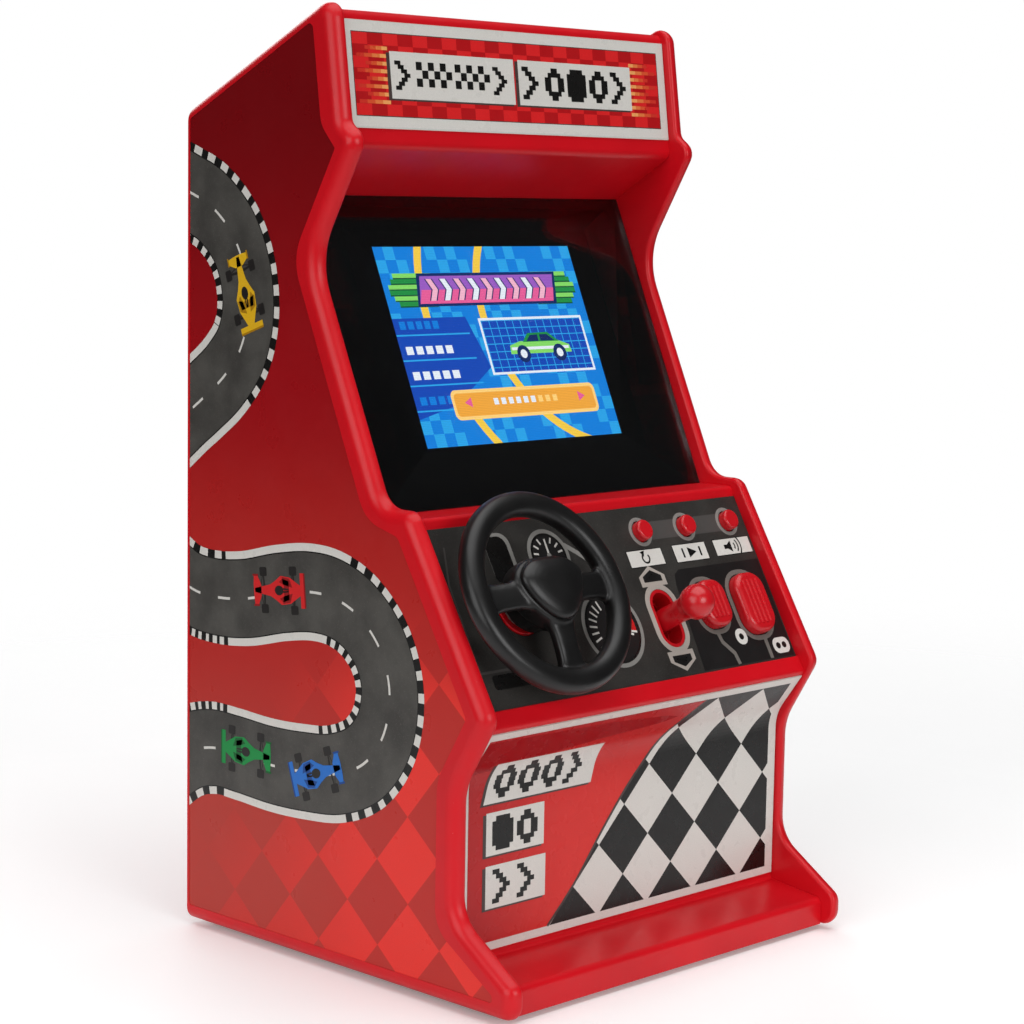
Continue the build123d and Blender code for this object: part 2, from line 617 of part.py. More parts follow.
# Lever: cup in the deck, two ears under it, a pin, and the rod with its knob and rocker foot
CUP_WALL = 0.6
CUP_DEPTH = 3.2
CUP_FLOOR = 0.8
EAR_INSIDE = 2.35
EAR = 1.2
PIN_RADIUS = 1.0
HUB_RADIUS = 1.6
lever_axis = raised(DECK, *LEVER_PLACE, -LEVER_PIVOT)
cross = Plane(origin=lever_axis.origin, x_dir=lever_axis.y_dir, z_dir=lever_axis.x_dir)
with BuildPart() as cup:
    with BuildSketch(DECK.offset(-CUP_DEPTH - CUP_FLOOR)):
        with Locations(LEVER_PLACE):
            SlotOverall(SLOT[1], SLOT[0], rotation=90)
    extrude(amount=CUP_DEPTH + CUP_FLOOR)
    with BuildSketch(DECK):
        with Locations(LEVER_PLACE):
            SlotOverall(SLOT[1] - 2 * CUP_WALL, SLOT[0] - 2 * CUP_WALL, rotation=90)
    extrude(amount=-CUP_DEPTH, mode=Mode.SUBTRACT)
    with BuildSketch(DECK.offset(flange_top)):
        with Locations(LEVER_PLACE):
            RectangleRounded(SLOT[0] + 1.7, SLOT[1] + 1.6, 2.0)
            SlotOverall(SLOT[1] - 0.4, SLOT[0] - 0.4, rotation=90, mode=Mode.SUBTRACT)
    extrude(amount=-FLANGE)
    with BuildSketch(DECK.offset(-CUP_DEPTH + 0.2)):
        with Locations(LEVER_PLACE):
            SlotOverall(8.2, 4.5, rotation=90)
    extrude(amount=-CUP_FLOOR - 0.4, mode=Mode.SUBTRACT)
    for sign in (-1, 1):
        with BuildSketch(cross.offset(sign * EAR_INSIDE)):
            with Locations((1.2, 0)):
                Rectangle(2.4, 4.4)
            Circle(2.2)
        extrude(amount=sign * EAR)
    with BuildSketch(cross.offset(-EAR_INSIDE - EAR)):
        Circle(PIN_RADIUS)
    extrude(amount=2 * (EAR_INSIDE + EAR), mode=Mode.SUBTRACT)
finish(cup, "lever_cup")

with BuildPart() as pin:
    with BuildSketch(cross.offset(-EAR_INSIDE - EAR)):
        Circle(PIN_RADIUS)
    extrude(amount=2 * (EAR_INSIDE + EAR))
finish(pin, "lever_pin")

ROCKER = (6.8, 1.4)  # length and thickness of the foot that presses the two domes
ROCKER_BELOW = 1.6
KNOB_RADIUS = 3.1
KNOB_REACH = LEVER_PIVOT + LEVER_KNOB_HEIGHT
ROD_PROFILE = [
    (0.0, 0.0, 0),
    (1.85, 0.0, 0),
    (2.0, 4.6, 1.0),
    (1.95, 7.6, 2.0),
    (2.1, KNOB_REACH - 2.8, 1.0),
    (2.75, KNOB_REACH - 1.2, 0),
    (0.0, KNOB_REACH - 1.2, 0),
]
rod_plane = Plane(origin=lever_axis.origin, x_dir=lever_axis.x_dir, z_dir=-lever_axis.y_dir)
with BuildPart() as lever:
    revolve(outline(ROD_PROFILE, rod_plane), axis=Axis(lever_axis.origin, lever_axis.z_dir))
    with Locations(raised(lever_axis, 0, 0, KNOB_REACH)):
        Sphere(KNOB_RADIUS)
    with BuildSketch(cross.offset(-EAR_INSIDE + 0.25)):
        Circle(HUB_RADIUS)
        with Locations((0, -ROCKER_BELOW)):
            Rectangle(*ROCKER)
    extrude(amount=2 * EAR_INSIDE - 0.5)
    with BuildSketch(cross.offset(-EAR_INSIDE)):
        Circle(PIN_RADIUS + RUNNING)
    extrude(amount=2 * EAR_INSIDE, mode=Mode.SUBTRACT)
finish(lever, "control_lever")

# Silicone sheet with a dome under each control, on the control board
LEVER_DOME_REACH = 2.9
LEVER_DOME_HEIGHT = 0.6
DOMES = [(*place, 1.9, DOME_HEIGHT) for place in ROUND_BUTTONS.values()]
DOMES += [(across, up, 2.4, DOME_HEIGHT) for across, up, _, _ in PILLS.values()]
DOMES += [(LEVER_PLACE[0], LEVER_PLACE[1] + n * LEVER_DOME_REACH, 1.4, LEVER_DOME_HEIGHT) for n in (-1, 1)]
DOME_TAPER = 22
SHEET_SIZE = (34.6, 25.6)
SHEET_CENTRE = (22.6, -15.4)
with BuildPart() as sheet:
    with BuildSketch(DECK.offset(-BOARD_DEPTH)):
        with Locations(SHEET_CENTRE):
            RectangleRounded(*SHEET_SIZE, 1.5)
        with Locations(*DECK_BOSSES):
            Circle(2.3, mode=Mode.SUBTRACT)
    extrude(amount=SHEET)
    for across, up, radius, height in DOMES:
        with BuildSketch(DECK.offset(-BOARD_DEPTH + SHEET)):
            with Locations((across, up)):
                Circle(radius)
        extrude(amount=height, taper=DOME_TAPER)
finish(sheet, "button_membrane")

CONTROL_BOARD = (77.0, 29.4)
with BuildPart() as control_board:
    with BuildSketch(DECK.offset(-BOARD_DEPTH)):
        with Locations((0, -16.3)):
            RectangleRounded(*CONTROL_BOARD, 1.0)
        with Locations(WHEEL_PLACE):
            Circle(SHAFT_RADIUS + 0.6, mode=Mode.SUBTRACT)
        with Locations(*DECK_BOSSES):
            Circle(SCREW_RADIUS + 0.1, mode=Mode.SUBTRACT)
    extrude(amount=-BOARD_THICK)
finish(control_board, "control_board")
board_back = DECK.offset(-BOARD_DEPTH - BOARD_THICK)
board_under = Plane(origin=board_back.origin, x_dir=(-1, 0, 0), z_dir=-DECK.z_dir)
deck_places = [raised(board_under, -x, y) for x, y in DECK_BOSSES]
make_pan_screws("control_board_screws", deck_places, CONTROL_SCREW_LENGTH)

# Steering wheel with its hub cap, shaft, bush, cam, centring spring, switches and retaining ring
RIM_TUBE = (15.2, WHEEL_BASE + 2.1, 1.95)  # the rim's raised tube: reach, height and radius
RIM_LIP = (16.75, WHEEL_BASE + 1.15, 1.1)  # the lower lip round its outside
HUB_TOP = WHEEL_BASE + 3.9
HUB_SHIELD = [(0.0, 5.7), (4.6, 5.3), (7.5, 2.5), (6.2, -1.7), (3.0, -5.3), (0.0, -6.4)]
HUB_SHIELD += [(-a, b) for a, b in HUB_SHIELD[4:0:-1]]
CAP_SCALE = 0.9
CAP_SHIELD = [(CAP_SCALE * a, CAP_SCALE * b) for a, b in HUB_SHIELD]
HUB_EDGE = 0.8
HUB_SINK = 0.4  # how far the hub reaches below the rim
SCREW_POCKET = 1.0
SHAFT_INTO_HUB = 0.6
SKIRT_RADIUS = 5.2
SKIRT_DROP = 3.2  # how far the hub's round skirt reaches below it
CAP_RISE = 2.0
CAP_EDGE = 1.2
SPOKES = ((0, 4.9), (180, 4.9), (270, 5.0))  # direction in degrees and width
SPOKE_REACH = 9.5
SPOKE_LENGTH = 9.4
SPOKE_THICK = 1.9
SHAFT_END = -16.0
SHAFT_SCREW_RADIUS = 1.0
wheel_axis = raised(DECK, *WHEEL_PLACE)
wheel_cross = Plane(origin=wheel_axis.origin, x_dir=wheel_axis.x_dir, z_dir=-wheel_axis.y_dir)
turning = Axis(wheel_axis.origin, wheel_axis.z_dir)


def shield(points, plane):
    """Sketch of a smooth closed shape through the points."""
    with BuildSketch(plane) as shape:
        with BuildLine():
            Spline(*points, periodic=True)
        make_face()
    return shape.sketch


with BuildPart() as wheel:
    with BuildSketch(wheel_cross):
        for reach, height, radius in (RIM_TUBE, RIM_LIP):
            with Locations((reach, height)):
                Circle(radius)
    revolve(axis=turning)
    for angle, width in SPOKES:
        spoke_x = SPOKE_REACH * cos(radians(angle))
        spoke_y = SPOKE_REACH * sin(radians(angle))
        with BuildSketch(wheel_axis.offset(WHEEL_BASE + 0.2)):
            with Locations((spoke_x, spoke_y)):
                Rectangle(SPOKE_LENGTH, width, rotation=angle)
        extrude(amount=SPOKE_THICK)
    hub_plane = wheel_axis.offset(WHEEL_BASE - HUB_SINK)
    extrude(shield(HUB_SHIELD, hub_plane), amount=HUB_TOP - WHEEL_BASE + HUB_SINK)
    fillet(faces().sort_by_distance(wheel_axis.from_local_coords((0, 0, HUB_TOP)))[0].edges(), HUB_EDGE)
    with BuildSketch(hub_plane):
        Circle(SKIRT_RADIUS)
    extrude(amount=-SKIRT_DROP)
    with BuildSketch(wheel_axis.offset(WHEEL_BASE + SHAFT_INTO_HUB)):
        Circle(SHAFT_RADIUS + RUNNING)
    extrude(amount=-SKIRT_DROP - 2.0, mode=Mode.SUBTRACT)
    with BuildSketch(wheel_axis.offset(WHEEL_BASE)):
        Circle(SHAFT_SCREW_RADIUS + HOLE_SLACK)
    extrude(amount=4.0, mode=Mode.SUBTRACT)
    with BuildSketch(wheel_axis.offset(HUB_TOP - SCREW_POCKET)):
        Circle(HEAD_RADIUS + HOLE_SLACK)
    extrude(amount=2.0, mode=Mode.SUBTRACT)
finish(wheel, "steering_wheel")

with BuildPart() as hub_cap:
    extrude(shield(CAP_SHIELD, wheel_axis.offset(HUB_TOP)), amount=CAP_RISE)
    cap_middle = wheel_axis.from_local_coords((0, 0, HUB_TOP + CAP_RISE))
    fillet(faces().sort_by_distance(cap_middle)[0].edges(), CAP_EDGE)
finish(hub_cap, "wheel_hub_cap")

with BuildPart() as shaft:
    with BuildSketch(wheel_axis.offset(WHEEL_BASE + SHAFT_INTO_HUB)):
        Circle(SHAFT_RADIUS)
    extrude(amount=SHAFT_END - WHEEL_BASE - SHAFT_INTO_HUB)
    with BuildSketch(wheel_axis.offset(WHEEL_BASE + 1.0)):
        Circle(SHAFT_SCREW_RADIUS)
    extrude(amount=-6.0, mode=Mode.SUBTRACT)
    with BuildSketch(wheel_axis.offset(SHAFT_END + 1.2)):
        Circle(SHAFT_RADIUS + 1.0)
        Circle(SHAFT_RADIUS - 0.5, mode=Mode.SUBTRACT)
    extrude(amount=-0.6, mode=Mode.SUBTRACT)
finish(shaft, "steering_shaft")

with BuildPart() as shaft_screw:
    with BuildSketch(wheel_axis.offset(HUB_TOP - SCREW_POCKET)):
        Circle(HEAD_RADIUS)
        Rectangle(2.6, 0.5, mode=Mode.SUBTRACT)
    extrude(amount=0.95)
    with BuildSketch(wheel_axis.offset(HUB_TOP - SCREW_POCKET)):
        Circle(HEAD_RADIUS)
    extrude(amount=0.4)
    with BuildSketch(wheel_axis.offset(HUB_TOP - SCREW_POCKET)):
        Circle(SHAFT_SCREW_RADIUS)
    extrude(amount=-5.5)
finish(shaft_screw, "wheel_screw")

BUSH_FLANGE = 0.8
BUSH_FLANGE_RADIUS = SHAFT_RADIUS + 2.6
BUSH_RADIUS = SHAFT_RADIUS + 1.35
BUSH_BORE = 6.0
with BuildPart() as bush:
    with BuildSketch(wheel_axis.offset(flange_top)):
        Circle(BUSH_FLANGE_RADIUS)
    extrude(amount=-BUSH_FLANGE)
    with BuildSketch(wheel_axis.offset(flange_top - BUSH_FLANGE)):
        Circle(BUSH_RADIUS)
    extrude(amount=BUSH_FLANGE - flange_top - 0.6)
    with BuildSketch(wheel_axis.offset(CUT_OVER)):
        Circle(SHAFT_RADIUS + RUNNING)
    extrude(amount=-BUSH_BORE, mode=Mode.SUBTRACT)
finish(bush, "shaft_bush")

CAM_DEPTH = 5.2
CAM_THICK = 1.6
CAM_HUB_RADIUS = SHAFT_RADIUS + 1.4
CAM_ARM = (2.4, 5.0)
CAM_ARM_REACH = 4.5  # to the arm's middle
CAM_TIP_REACH = 7.0
CAM_TIP_RADIUS = 1.2
with BuildPart() as cam:
    with BuildSketch(wheel_axis.offset(-CAM_DEPTH)):
        Circle(CAM_HUB_RADIUS)
        with Locations((0, CAM_ARM_REACH)):
            Rectangle(*CAM_ARM)
        with Locations((0, CAM_TIP_REACH)):
            Circle(CAM_TIP_RADIUS)
        Circle(SHAFT_RADIUS, mode=Mode.SUBTRACT)
    extrude(amount=-CAM_THICK)
finish(cam, "steering_cam")

with BuildPart() as ring:
    with BuildSketch(wheel_axis.offset(SHAFT_END + 1.15)):
        Circle(SHAFT_RADIUS + 1.0)
        Circle(SHAFT_RADIUS - 0.48, mode=Mode.SUBTRACT)
        with Locations((0, -2.5)):
            Rectangle(2.0, 3.0, mode=Mode.SUBTRACT)
    extrude(amount=-0.5)
finish(ring, "shaft_retaining_ring")

# One switch each side of the cam, just clear of it when the wheel is fully turned
SWITCH_ANGLE = 75.0  # from the cam's rest position
SWITCH_REACH = 7.4
SWITCH_SIZE = 3.4
SWITCH_HEIGHT = 3.9
for side_name, sign in (("left", -1), ("right", 1)):
    place_angle = radians(90 - sign * SWITCH_ANGLE)
    switch_place = (SWITCH_REACH * cos(place_angle), SWITCH_REACH * sin(place_angle))
    with BuildPart() as switch:
        with BuildSketch(wheel_axis.offset(-BOARD_DEPTH)):
            with Locations(switch_place):
                Rectangle(SWITCH_SIZE, SWITCH_SIZE, rotation=-sign * SWITCH_ANGLE)
        extrude(amount=SWITCH_HEIGHT)
        with BuildSketch(wheel_axis.offset(-BOARD_DEPTH + SWITCH_HEIGHT)):
            with Locations(switch_place):
                Circle(0.8)
        extrude(amount=0.3)
    finish(switch, f"steering_switch_{side_name}")

# Wound springs; the wire's end touches the piece it bears on but for a small gap
WIRE = 0.35  # radius of a spring's wire
WIRE_GAP = 0.03
COIL_RADIUS = SHAFT_RADIUS + 1.0
COIL_START = BOARD_DEPTH + BOARD_THICK + WIRE + WIRE_GAP
COIL_LENGTH = 3.0
COIL_PITCH = 1.0
CELL_COIL_PITCH = 1.35
CELL_COIL_RADIUS = 3.4
coil_origin = wheel_axis.from_local_coords((0, 0, -COIL_START))
with BuildPart() as spring:
    with BuildLine() as coil:
        Helix(COIL_PITCH, COIL_LENGTH, COIL_RADIUS, center=coil_origin, direction=-wheel_axis.z_dir)
    with BuildSketch(Plane(origin=coil.line @ 0, z_dir=coil.line % 0)):
        Circle(WIRE)
    sweep()
finish(spring, "centring_spring")

# Flat ribbon cable from the control board up to the main board
ribbon_start = side_point(DECK, -1.2, BOARD_DEPTH + BOARD_THICK + 0.15)
ribbon_leave = side_point(DECK, 1.5, BOARD_DEPTH + BOARD_THICK + 0.3)
socket_at = board_centre[1] - SOCKET_DROP - SOCKET[1] / 2
ribbon_end = side_point(WINDOW, socket_at, MAIN_BOARD_DEPTH + BOARD_THICK + 1.0)
ribbon_drop = side_point(WINDOW, socket_at - 4.0, MAIN_BOARD_DEPTH + BOARD_THICK + 1.0)
RIBBON = (12.0, 0.25)  # width and thickness
with BuildPart() as ribbon:
    ribbon_points = [ribbon_start, ribbon_leave, ribbon_drop, ribbon_end]
    ribbon_plane = Plane.YZ.offset(board_centre[0] - RIBBON[0] / 2)
    extrude(strip(ribbon_points, ribbon_plane, RIBBON[1]), amount=RIBBON[0])
finish(ribbon, "ribbon_cable")

# Battery box with three cells, their springs and contact plates, and the door with its screw
BOX_HALF = 33.2
BOX_LOW = 8.0
BOX_HIGH = 64.2
BOX_WALL = 1.2
BOX_FLOOR_Y = CELL_Y - CELL_RADIUS - 0.3
door_middle = (DOOR_LOW + DOOR_HIGH) / 2
DOOR_SCREW_HEIGHT = 60.6
with BuildPart() as box:
    with BuildSketch(back_plane.offset(-SHELL)):
        with Locations((0, (BOX_LOW + BOX_HIGH) / 2)):
            Rectangle(2 * BOX_HALF, BOX_HIGH - BOX_LOW)
    extrude(amount=-(BACK_INNER - BOX_FLOOR_Y + BOX_WALL))
    with BuildSketch(back_plane.offset(-SHELL)):
        with Locations((0, (BOX_LOW + BOX_HIGH) / 2)):
            Rectangle(2 * (BOX_HALF - BOX_WALL), BOX_HIGH - BOX_LOW - 2 * BOX_WALL)
    extrude(amount=-(BACK_INNER - BOX_FLOOR_Y), mode=Mode.SUBTRACT)
    with BuildSketch(back_plane.offset(-SHELL - 0.4)):
        with Locations((0, DOOR_SCREW_HEIGHT)):
            Circle(BOSS_RADIUS)
            with Locations((0, 1.6)):
                Rectangle(2 * BOSS_RADIUS, 3.2)
    extrude(amount=-8.0)
    with BuildSketch(back_plane.offset(-SHELL - 0.4)):
        with Locations((0, DOOR_SCREW_HEIGHT)):
            Circle(PILOT_RADIUS + 0.3)
    extrude(amount=-7.0, mode=Mode.SUBTRACT)
finish(box, "battery_box")

contact_x = CELL_LENGTH / 2 + CELL_NUB / 2
for number, height in enumerate(CELL_HEIGHTS, start=1):
    sign = 1 if number % 2 else -1  # neighbours lie head to tail
    along = Plane(origin=(-sign * contact_x, CELL_Y, height), x_dir=(0, 1, 0), z_dir=(sign, 0, 0))
    with BuildPart() as cell:
        with BuildSketch(along):
            Circle(CELL_RADIUS)
        extrude(amount=CELL_LENGTH)
        fillet(edges().filter_by(GeomType.CIRCLE), CELL_EDGE)
        with BuildSketch(along.offset(CELL_LENGTH)):
            Circle(CELL_NUB_RADIUS)
        extrude(amount=CELL_NUB)
    finish(cell, f"battery_{number}")

PLATE = 0.35
PLATE_SIZE = (11.0, 12.0)
PLATE_NUB_RADIUS = 2.2
plate_x = BOX_HALF - BOX_WALL - PLATE
battery_coil = plate_x - contact_x - 2 * (WIRE + WIRE_GAP)
with BuildPart() as springs:
    for number, height in enumerate(CELL_HEIGHTS, start=1):
        sign = 1 if number % 2 else -1
        coil_root = (-sign * (plate_x - WIRE - WIRE_GAP), CELL_Y, height)
        with BuildLine() as coil:
            Helix(CELL_COIL_PITCH, battery_coil, CELL_COIL_RADIUS, center=coil_root, direction=(sign, 0, 0))
        with BuildSketch(Plane(origin=coil.line @ 0, z_dir=coil.line % 0)):
            Circle(WIRE)
        sweep()
finish(springs, "battery_springs")

with BuildPart() as plates:
    for sign in (-1, 1):
        plate_plane = Plane.YZ.offset(sign * plate_x)
        for number, height in enumerate(CELL_HEIGHTS, start=1):
            with BuildSketch(plate_plane):
                with Locations((CELL_Y, height)):
                    Rectangle(*PLATE_SIZE)
            extrude(amount=sign * PLATE)
            nub_end = (sign > 0) == bool(number % 2)
            if nub_end:
                with BuildSketch(plate_plane):
                    with Locations((CELL_Y, height)):
                        Circle(PLATE_NUB_RADIUS)
                extrude(amount=-sign * (plate_x - contact_x - CELL_NUB / 2 + 0.5))
finish(plates, "battery_plates")

with BuildPart() as door:
    with BuildSketch(back_plane):
        with Locations((0, door_middle)):
            RectangleRounded(DOOR_WIDTH - 2 * DOOR_GAP, DOOR_HIGH - DOOR_LOW - 2 * DOOR_GAP, 1.4)
    extrude(amount=-DOOR_THICK)
    low_edges = edges().filter_by(Axis.X).group_by(Axis.Z)[0]
    fillet(low_edges, DOOR_THICK / 2 - 0.05)
    with BuildSketch(Plane.YZ.offset(-DOOR_PIN_HALF)):
        with Locations((DOOR_AXIS_Y, DOOR_AXIS_Z)):
            Circle(DOOR_PIN_RADIUS)
    extrude(amount=2 * DOOR_PIN_HALF)
    with BuildSketch(back_plane):
        with GridLocations(0, 1.8, 1, 5):
            with Locations((0, DOOR_HIGH - 12.0)):
                SlotOverall(18.0, 0.8)
    extrude(amount=0.3)
    with Locations(back_plane):
        with Locations((0, DOOR_SCREW_HEIGHT)):
            CounterSinkHole(SCREW_RADIUS + 0.05, HEAD_RADIUS + 0.1, DOOR_THICK + SINK_EXTRA, SINK_ANGLE)
finish(door, "battery_door")
make_screws("battery_door_screw", [raised(back_plane, 0, DOOR_SCREW_HEIGHT)], DOOR_SCREW_LENGTH)

# Power switch: body inside, knob in its slot
SWITCH_BODY = (12.0, 6.0)
SWITCH_FRONT = 1.2  # thickness of the body's front, with the knob's track in it
SWITCH_TRACK = (6.2, 2.6)
SWITCH_BODY_DEPTH = 3.4
SWITCH_KNOB = (2.8, 2.4)
KNOB_RIB = 0.35
KNOB_RIB_PITCH = 1.1
KNOB_STANDS = 0.4
KNOB_DROP = 1.1
with BuildPart() as switch_body:
    with BuildSketch(back_plane.offset(-SHELL)):
        with Locations((-SWITCH_PLACE[0], SWITCH_PLACE[1])):
            RectangleRounded(*SWITCH_BODY, 0.5)
            Rectangle(*SWITCH_TRACK, mode=Mode.SUBTRACT)
    extrude(amount=-SWITCH_FRONT)
    with BuildSketch(back_plane.offset(-SHELL - SWITCH_FRONT)):
        with Locations((-SWITCH_PLACE[0], SWITCH_PLACE[1])):
            Rectangle(*SWITCH_BODY)
    extrude(amount=-SWITCH_BODY_DEPTH)
finish(switch_body, "power_switch_body")

with BuildPart() as switch_knob:
    with BuildSketch(back_plane.offset(KNOB_STANDS)):
        with Locations((-SWITCH_PLACE[0] + SWITCH_TRAVEL / 2, SWITCH_PLACE[1])):
            Rectangle(*SWITCH_KNOB)
            with GridLocations(KNOB_RIB_PITCH, 0, 2, 1):
                Rectangle(KNOB_RIB, SWITCH_KNOB[1], mode=Mode.SUBTRACT)
    extrude(amount=-KNOB_STANDS)
    with BuildSketch(back_plane):
        with Locations((-SWITCH_PLACE[0] + SWITCH_TRAVEL / 2, SWITCH_PLACE[1])):
            Rectangle(*SWITCH_KNOB)
    extrude(amount=-SHELL - KNOB_DROP)
finish(switch_knob, "power_switch_knob")

# Speaker behind the grille, inside the round wall on the rear cover
SPEAKER_GAP = 0.6
SPEAKER_RIM = 1.4
SPEAKER_CONE = 2.6
SPEAKER_MAGNET_RADIUS = 7.5
SPEAKER_MAGNET = 3.0
with BuildPart() as speaker:
    with BuildSketch(back_plane.offset(-SHELL - SPEAKER_GAP)):
        with Locations((0, SPEAKER_HEIGHT)):
            Circle(SPEAKER_RADIUS)
    extrude(amount=-SPEAKER_RIM)
    with BuildSketch(back_plane.offset(-SHELL - SPEAKER_GAP - SPEAKER_RIM)):
        with Locations((0, SPEAKER_HEIGHT)):
            Circle(SPEAKER_RADIUS - 2.0)
    extrude(amount=-SPEAKER_CONE, taper=30)
    with BuildSketch(back_plane.offset(-SHELL - SPEAKER_GAP - SPEAKER_RIM - SPEAKER_CONE)):
        with Locations((0, SPEAKER_HEIGHT)):
            Circle(SPEAKER_MAGNET_RADIUS)
    extrude(amount=-SPEAKER_MAGNET)
finish(speaker, "speaker")
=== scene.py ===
"""Looks of the tabletop racing arcade cabinet: plastics, printed artwork, lit screen and studio."""

from math import atan2, cos, hypot, pi, radians, sin

import bmesh
import bpy
from mathutils import Matrix, Vector


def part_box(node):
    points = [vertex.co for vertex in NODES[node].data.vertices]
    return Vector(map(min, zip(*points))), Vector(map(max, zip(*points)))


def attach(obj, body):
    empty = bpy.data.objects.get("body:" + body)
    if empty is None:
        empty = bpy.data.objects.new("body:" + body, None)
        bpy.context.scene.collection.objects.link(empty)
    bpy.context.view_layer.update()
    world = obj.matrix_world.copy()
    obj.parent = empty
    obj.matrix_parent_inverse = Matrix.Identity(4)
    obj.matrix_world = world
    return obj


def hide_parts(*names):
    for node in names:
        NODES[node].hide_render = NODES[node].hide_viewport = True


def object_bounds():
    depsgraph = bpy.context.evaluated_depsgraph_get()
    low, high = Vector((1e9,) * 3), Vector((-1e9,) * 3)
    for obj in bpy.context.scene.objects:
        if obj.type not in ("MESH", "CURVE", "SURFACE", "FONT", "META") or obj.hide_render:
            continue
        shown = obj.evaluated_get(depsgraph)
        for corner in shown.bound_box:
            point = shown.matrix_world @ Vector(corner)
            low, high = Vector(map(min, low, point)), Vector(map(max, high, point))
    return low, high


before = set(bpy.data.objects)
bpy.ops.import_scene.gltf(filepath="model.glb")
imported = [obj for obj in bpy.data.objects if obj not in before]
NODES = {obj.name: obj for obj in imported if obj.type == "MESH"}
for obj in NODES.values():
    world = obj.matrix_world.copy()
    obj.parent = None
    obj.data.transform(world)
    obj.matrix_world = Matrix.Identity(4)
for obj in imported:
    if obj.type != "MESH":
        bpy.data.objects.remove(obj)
cad_low, cad_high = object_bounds()
MM = 0.001


def srgb(*levels):
    """Linear colour from the 0 to 255 values seen on a screen."""
    return tuple(((c / 255 + 0.055) / 1.055) ** 2.4 if c > 10 else c / 255 / 12.92 for c in levels)


# ---------------------------------------------------------------- materials


class Shader:
    """A material's node tree, with short ways to add and join its nodes."""

    def __init__(self, name, **settings):
        self.material = bpy.data.materials.new(name)
        self.material.use_nodes = True
        self.tree = self.material.node_tree
        self.bsdf = self.tree.nodes["Principled BSDF"]
        for key, value in settings.items():
            self.set(key.replace("_", " "), value)

    def set(self, socket, value):
        self.feed(self.bsdf.inputs[socket], value)

    def feed(self, socket, value):
        """Joins another node's output to the socket, or sets it to a number or colour."""
        if isinstance(value, bpy.types.NodeSocket):
            self.tree.links.new(value, socket)
            return
        if socket.type == "RGBA" and len(value) == 3:
            value = (*value, 1.0)
        socket.default_value = value

    def add(self, kind, inputs=(), **settings):
        node = self.tree.nodes.new("ShaderNode" + kind)
        for key, value in settings.items():
            setattr(node, key, value)
        for key, value in dict(inputs).items():
            self.feed(node.inputs[key], value)
        return node

    def math(self, operation, a, b=0.0, c=0.0):
        return self.add("Math", {0: a, 1: b, 2: c}, operation=operation).outputs[0]

    def place(self):
        """Place on the object in millimetres."""
        where = self.add("TexCoord").outputs["Object"]
        return self.add("VectorMath", {0: where, "Scale": 1000.0}, operation="SCALE").outputs[0]

    def axes(self, vector):
        return self.add("SeparateXYZ", {0: vector}).outputs

    def noise(self, vector, scale, detail=3.0, roughness=0.5):
        settings = {"Vector": vector, "Scale": scale, "Detail": detail, "Roughness": roughness}
        return self.add("TexNoise", settings).outputs["Fac"]

    def stretched(self, vector, scale, rotation=(0, 0, 0)):
        return self.add("Mapping", {"Vector": vector, "Rotation": rotation, "Scale": scale}).outputs[0]

    def span(self, value, low, high, out_low=0.0, out_high=1.0, smooth=False):
        """The value carried over from one range to another, and held at its ends."""
        ranges = {"From Min": low, "From Max": high, "To Min": out_low, "To Max": out_high}
        ease = "SMOOTHSTEP" if smooth else "LINEAR"
        return self.add("MapRange", {"Value": value, **ranges}, interpolation_type=ease).outputs["Result"]

    def mix(self, factor, a, b):
        """Colour a where the factor is 0 and b where it is 1."""
        return self.add("Mix", {0: factor, 6: a, 7: b}, data_type="RGBA").outputs[2]

    def bump(self, height, depth, strength=1.0):
        """Surface relief; depth in millimetres."""
        node = self.add("Bump", {"Height": height, "Distance": depth * MM, "Strength": strength})
        self.set("Normal", node.outputs[0])


def shade(colour, factor):
    return tuple(min(1.0, c * factor) for c in colour)


def plastic(name, colour, roughness, peel=0.012, grain=0.0, coat=0.0, speck=0.0, shine=0.5):
    """Moulded plastic: slow colour drift, uneven sheen, orange peel, and fine handling marks."""
    s = Shader(name, Coat_Weight=coat, Coat_Roughness=0.12, Specular_IOR_Level=shine)
    at = s.place()
    drift = s.noise(at, 0.05, 3)
    tone = s.mix(s.span(drift, 0.3, 0.7), shade(colour, 0.93), shade(colour, 1.06))
    if speck:
        dust = s.span(s.noise(at, 2.6, 1), 0.78, 0.82, 0.0, speck)
        tone = s.mix(dust, tone, (0.62, 0.55, 0.52))
    s.set("Base Color", tone)
    smear = s.noise(at, 0.16, 5, 0.6)
    scuff_at = s.stretched(at, (0.25, 3.5, 0.6), (0.5, 0.3, 0.9))
    scuff = s.span(s.noise(scuff_at, 1.0, 2), 0.66, 0.76, 0.0, 0.03)
    sheen = s.span(smear, 0.3, 0.75, roughness - 0.04, roughness + 0.07)
    s.set("Roughness", s.math("ADD", sheen, scuff))
    relief = s.noise(at, 0.55, 2)
    if grain:
        relief = s.math("ADD", relief, s.math("MULTIPLY", s.noise(at, 7.0, 2), grain))
    s.bump(relief, peel, 0.6)
    return s.material


def ink(name, colour, roughness=0.38, speckle=0.05, coat=0.04):
    """Printed ink under a clear laminate: fine print grain and a slightly rippled gloss."""
    s = Shader(name, Coat_Weight=coat, Coat_Roughness=0.14, Specular_IOR_Level=0.3)
    at = s.place()
    fine = s.span(s.noise(at, 5.5, 2), 0.3, 0.7)
    s.set("Base Color", s.mix(fine, shade(colour, 1 - speckle), shade(colour, 1 + speckle)))
    s.set("Roughness", s.span(s.noise(at, 0.3, 3), 0.3, 0.7, roughness - 0.05, roughness + 0.05))
    s.bump(s.noise(at, 0.7, 2), 0.01, 0.5)
    return s.material


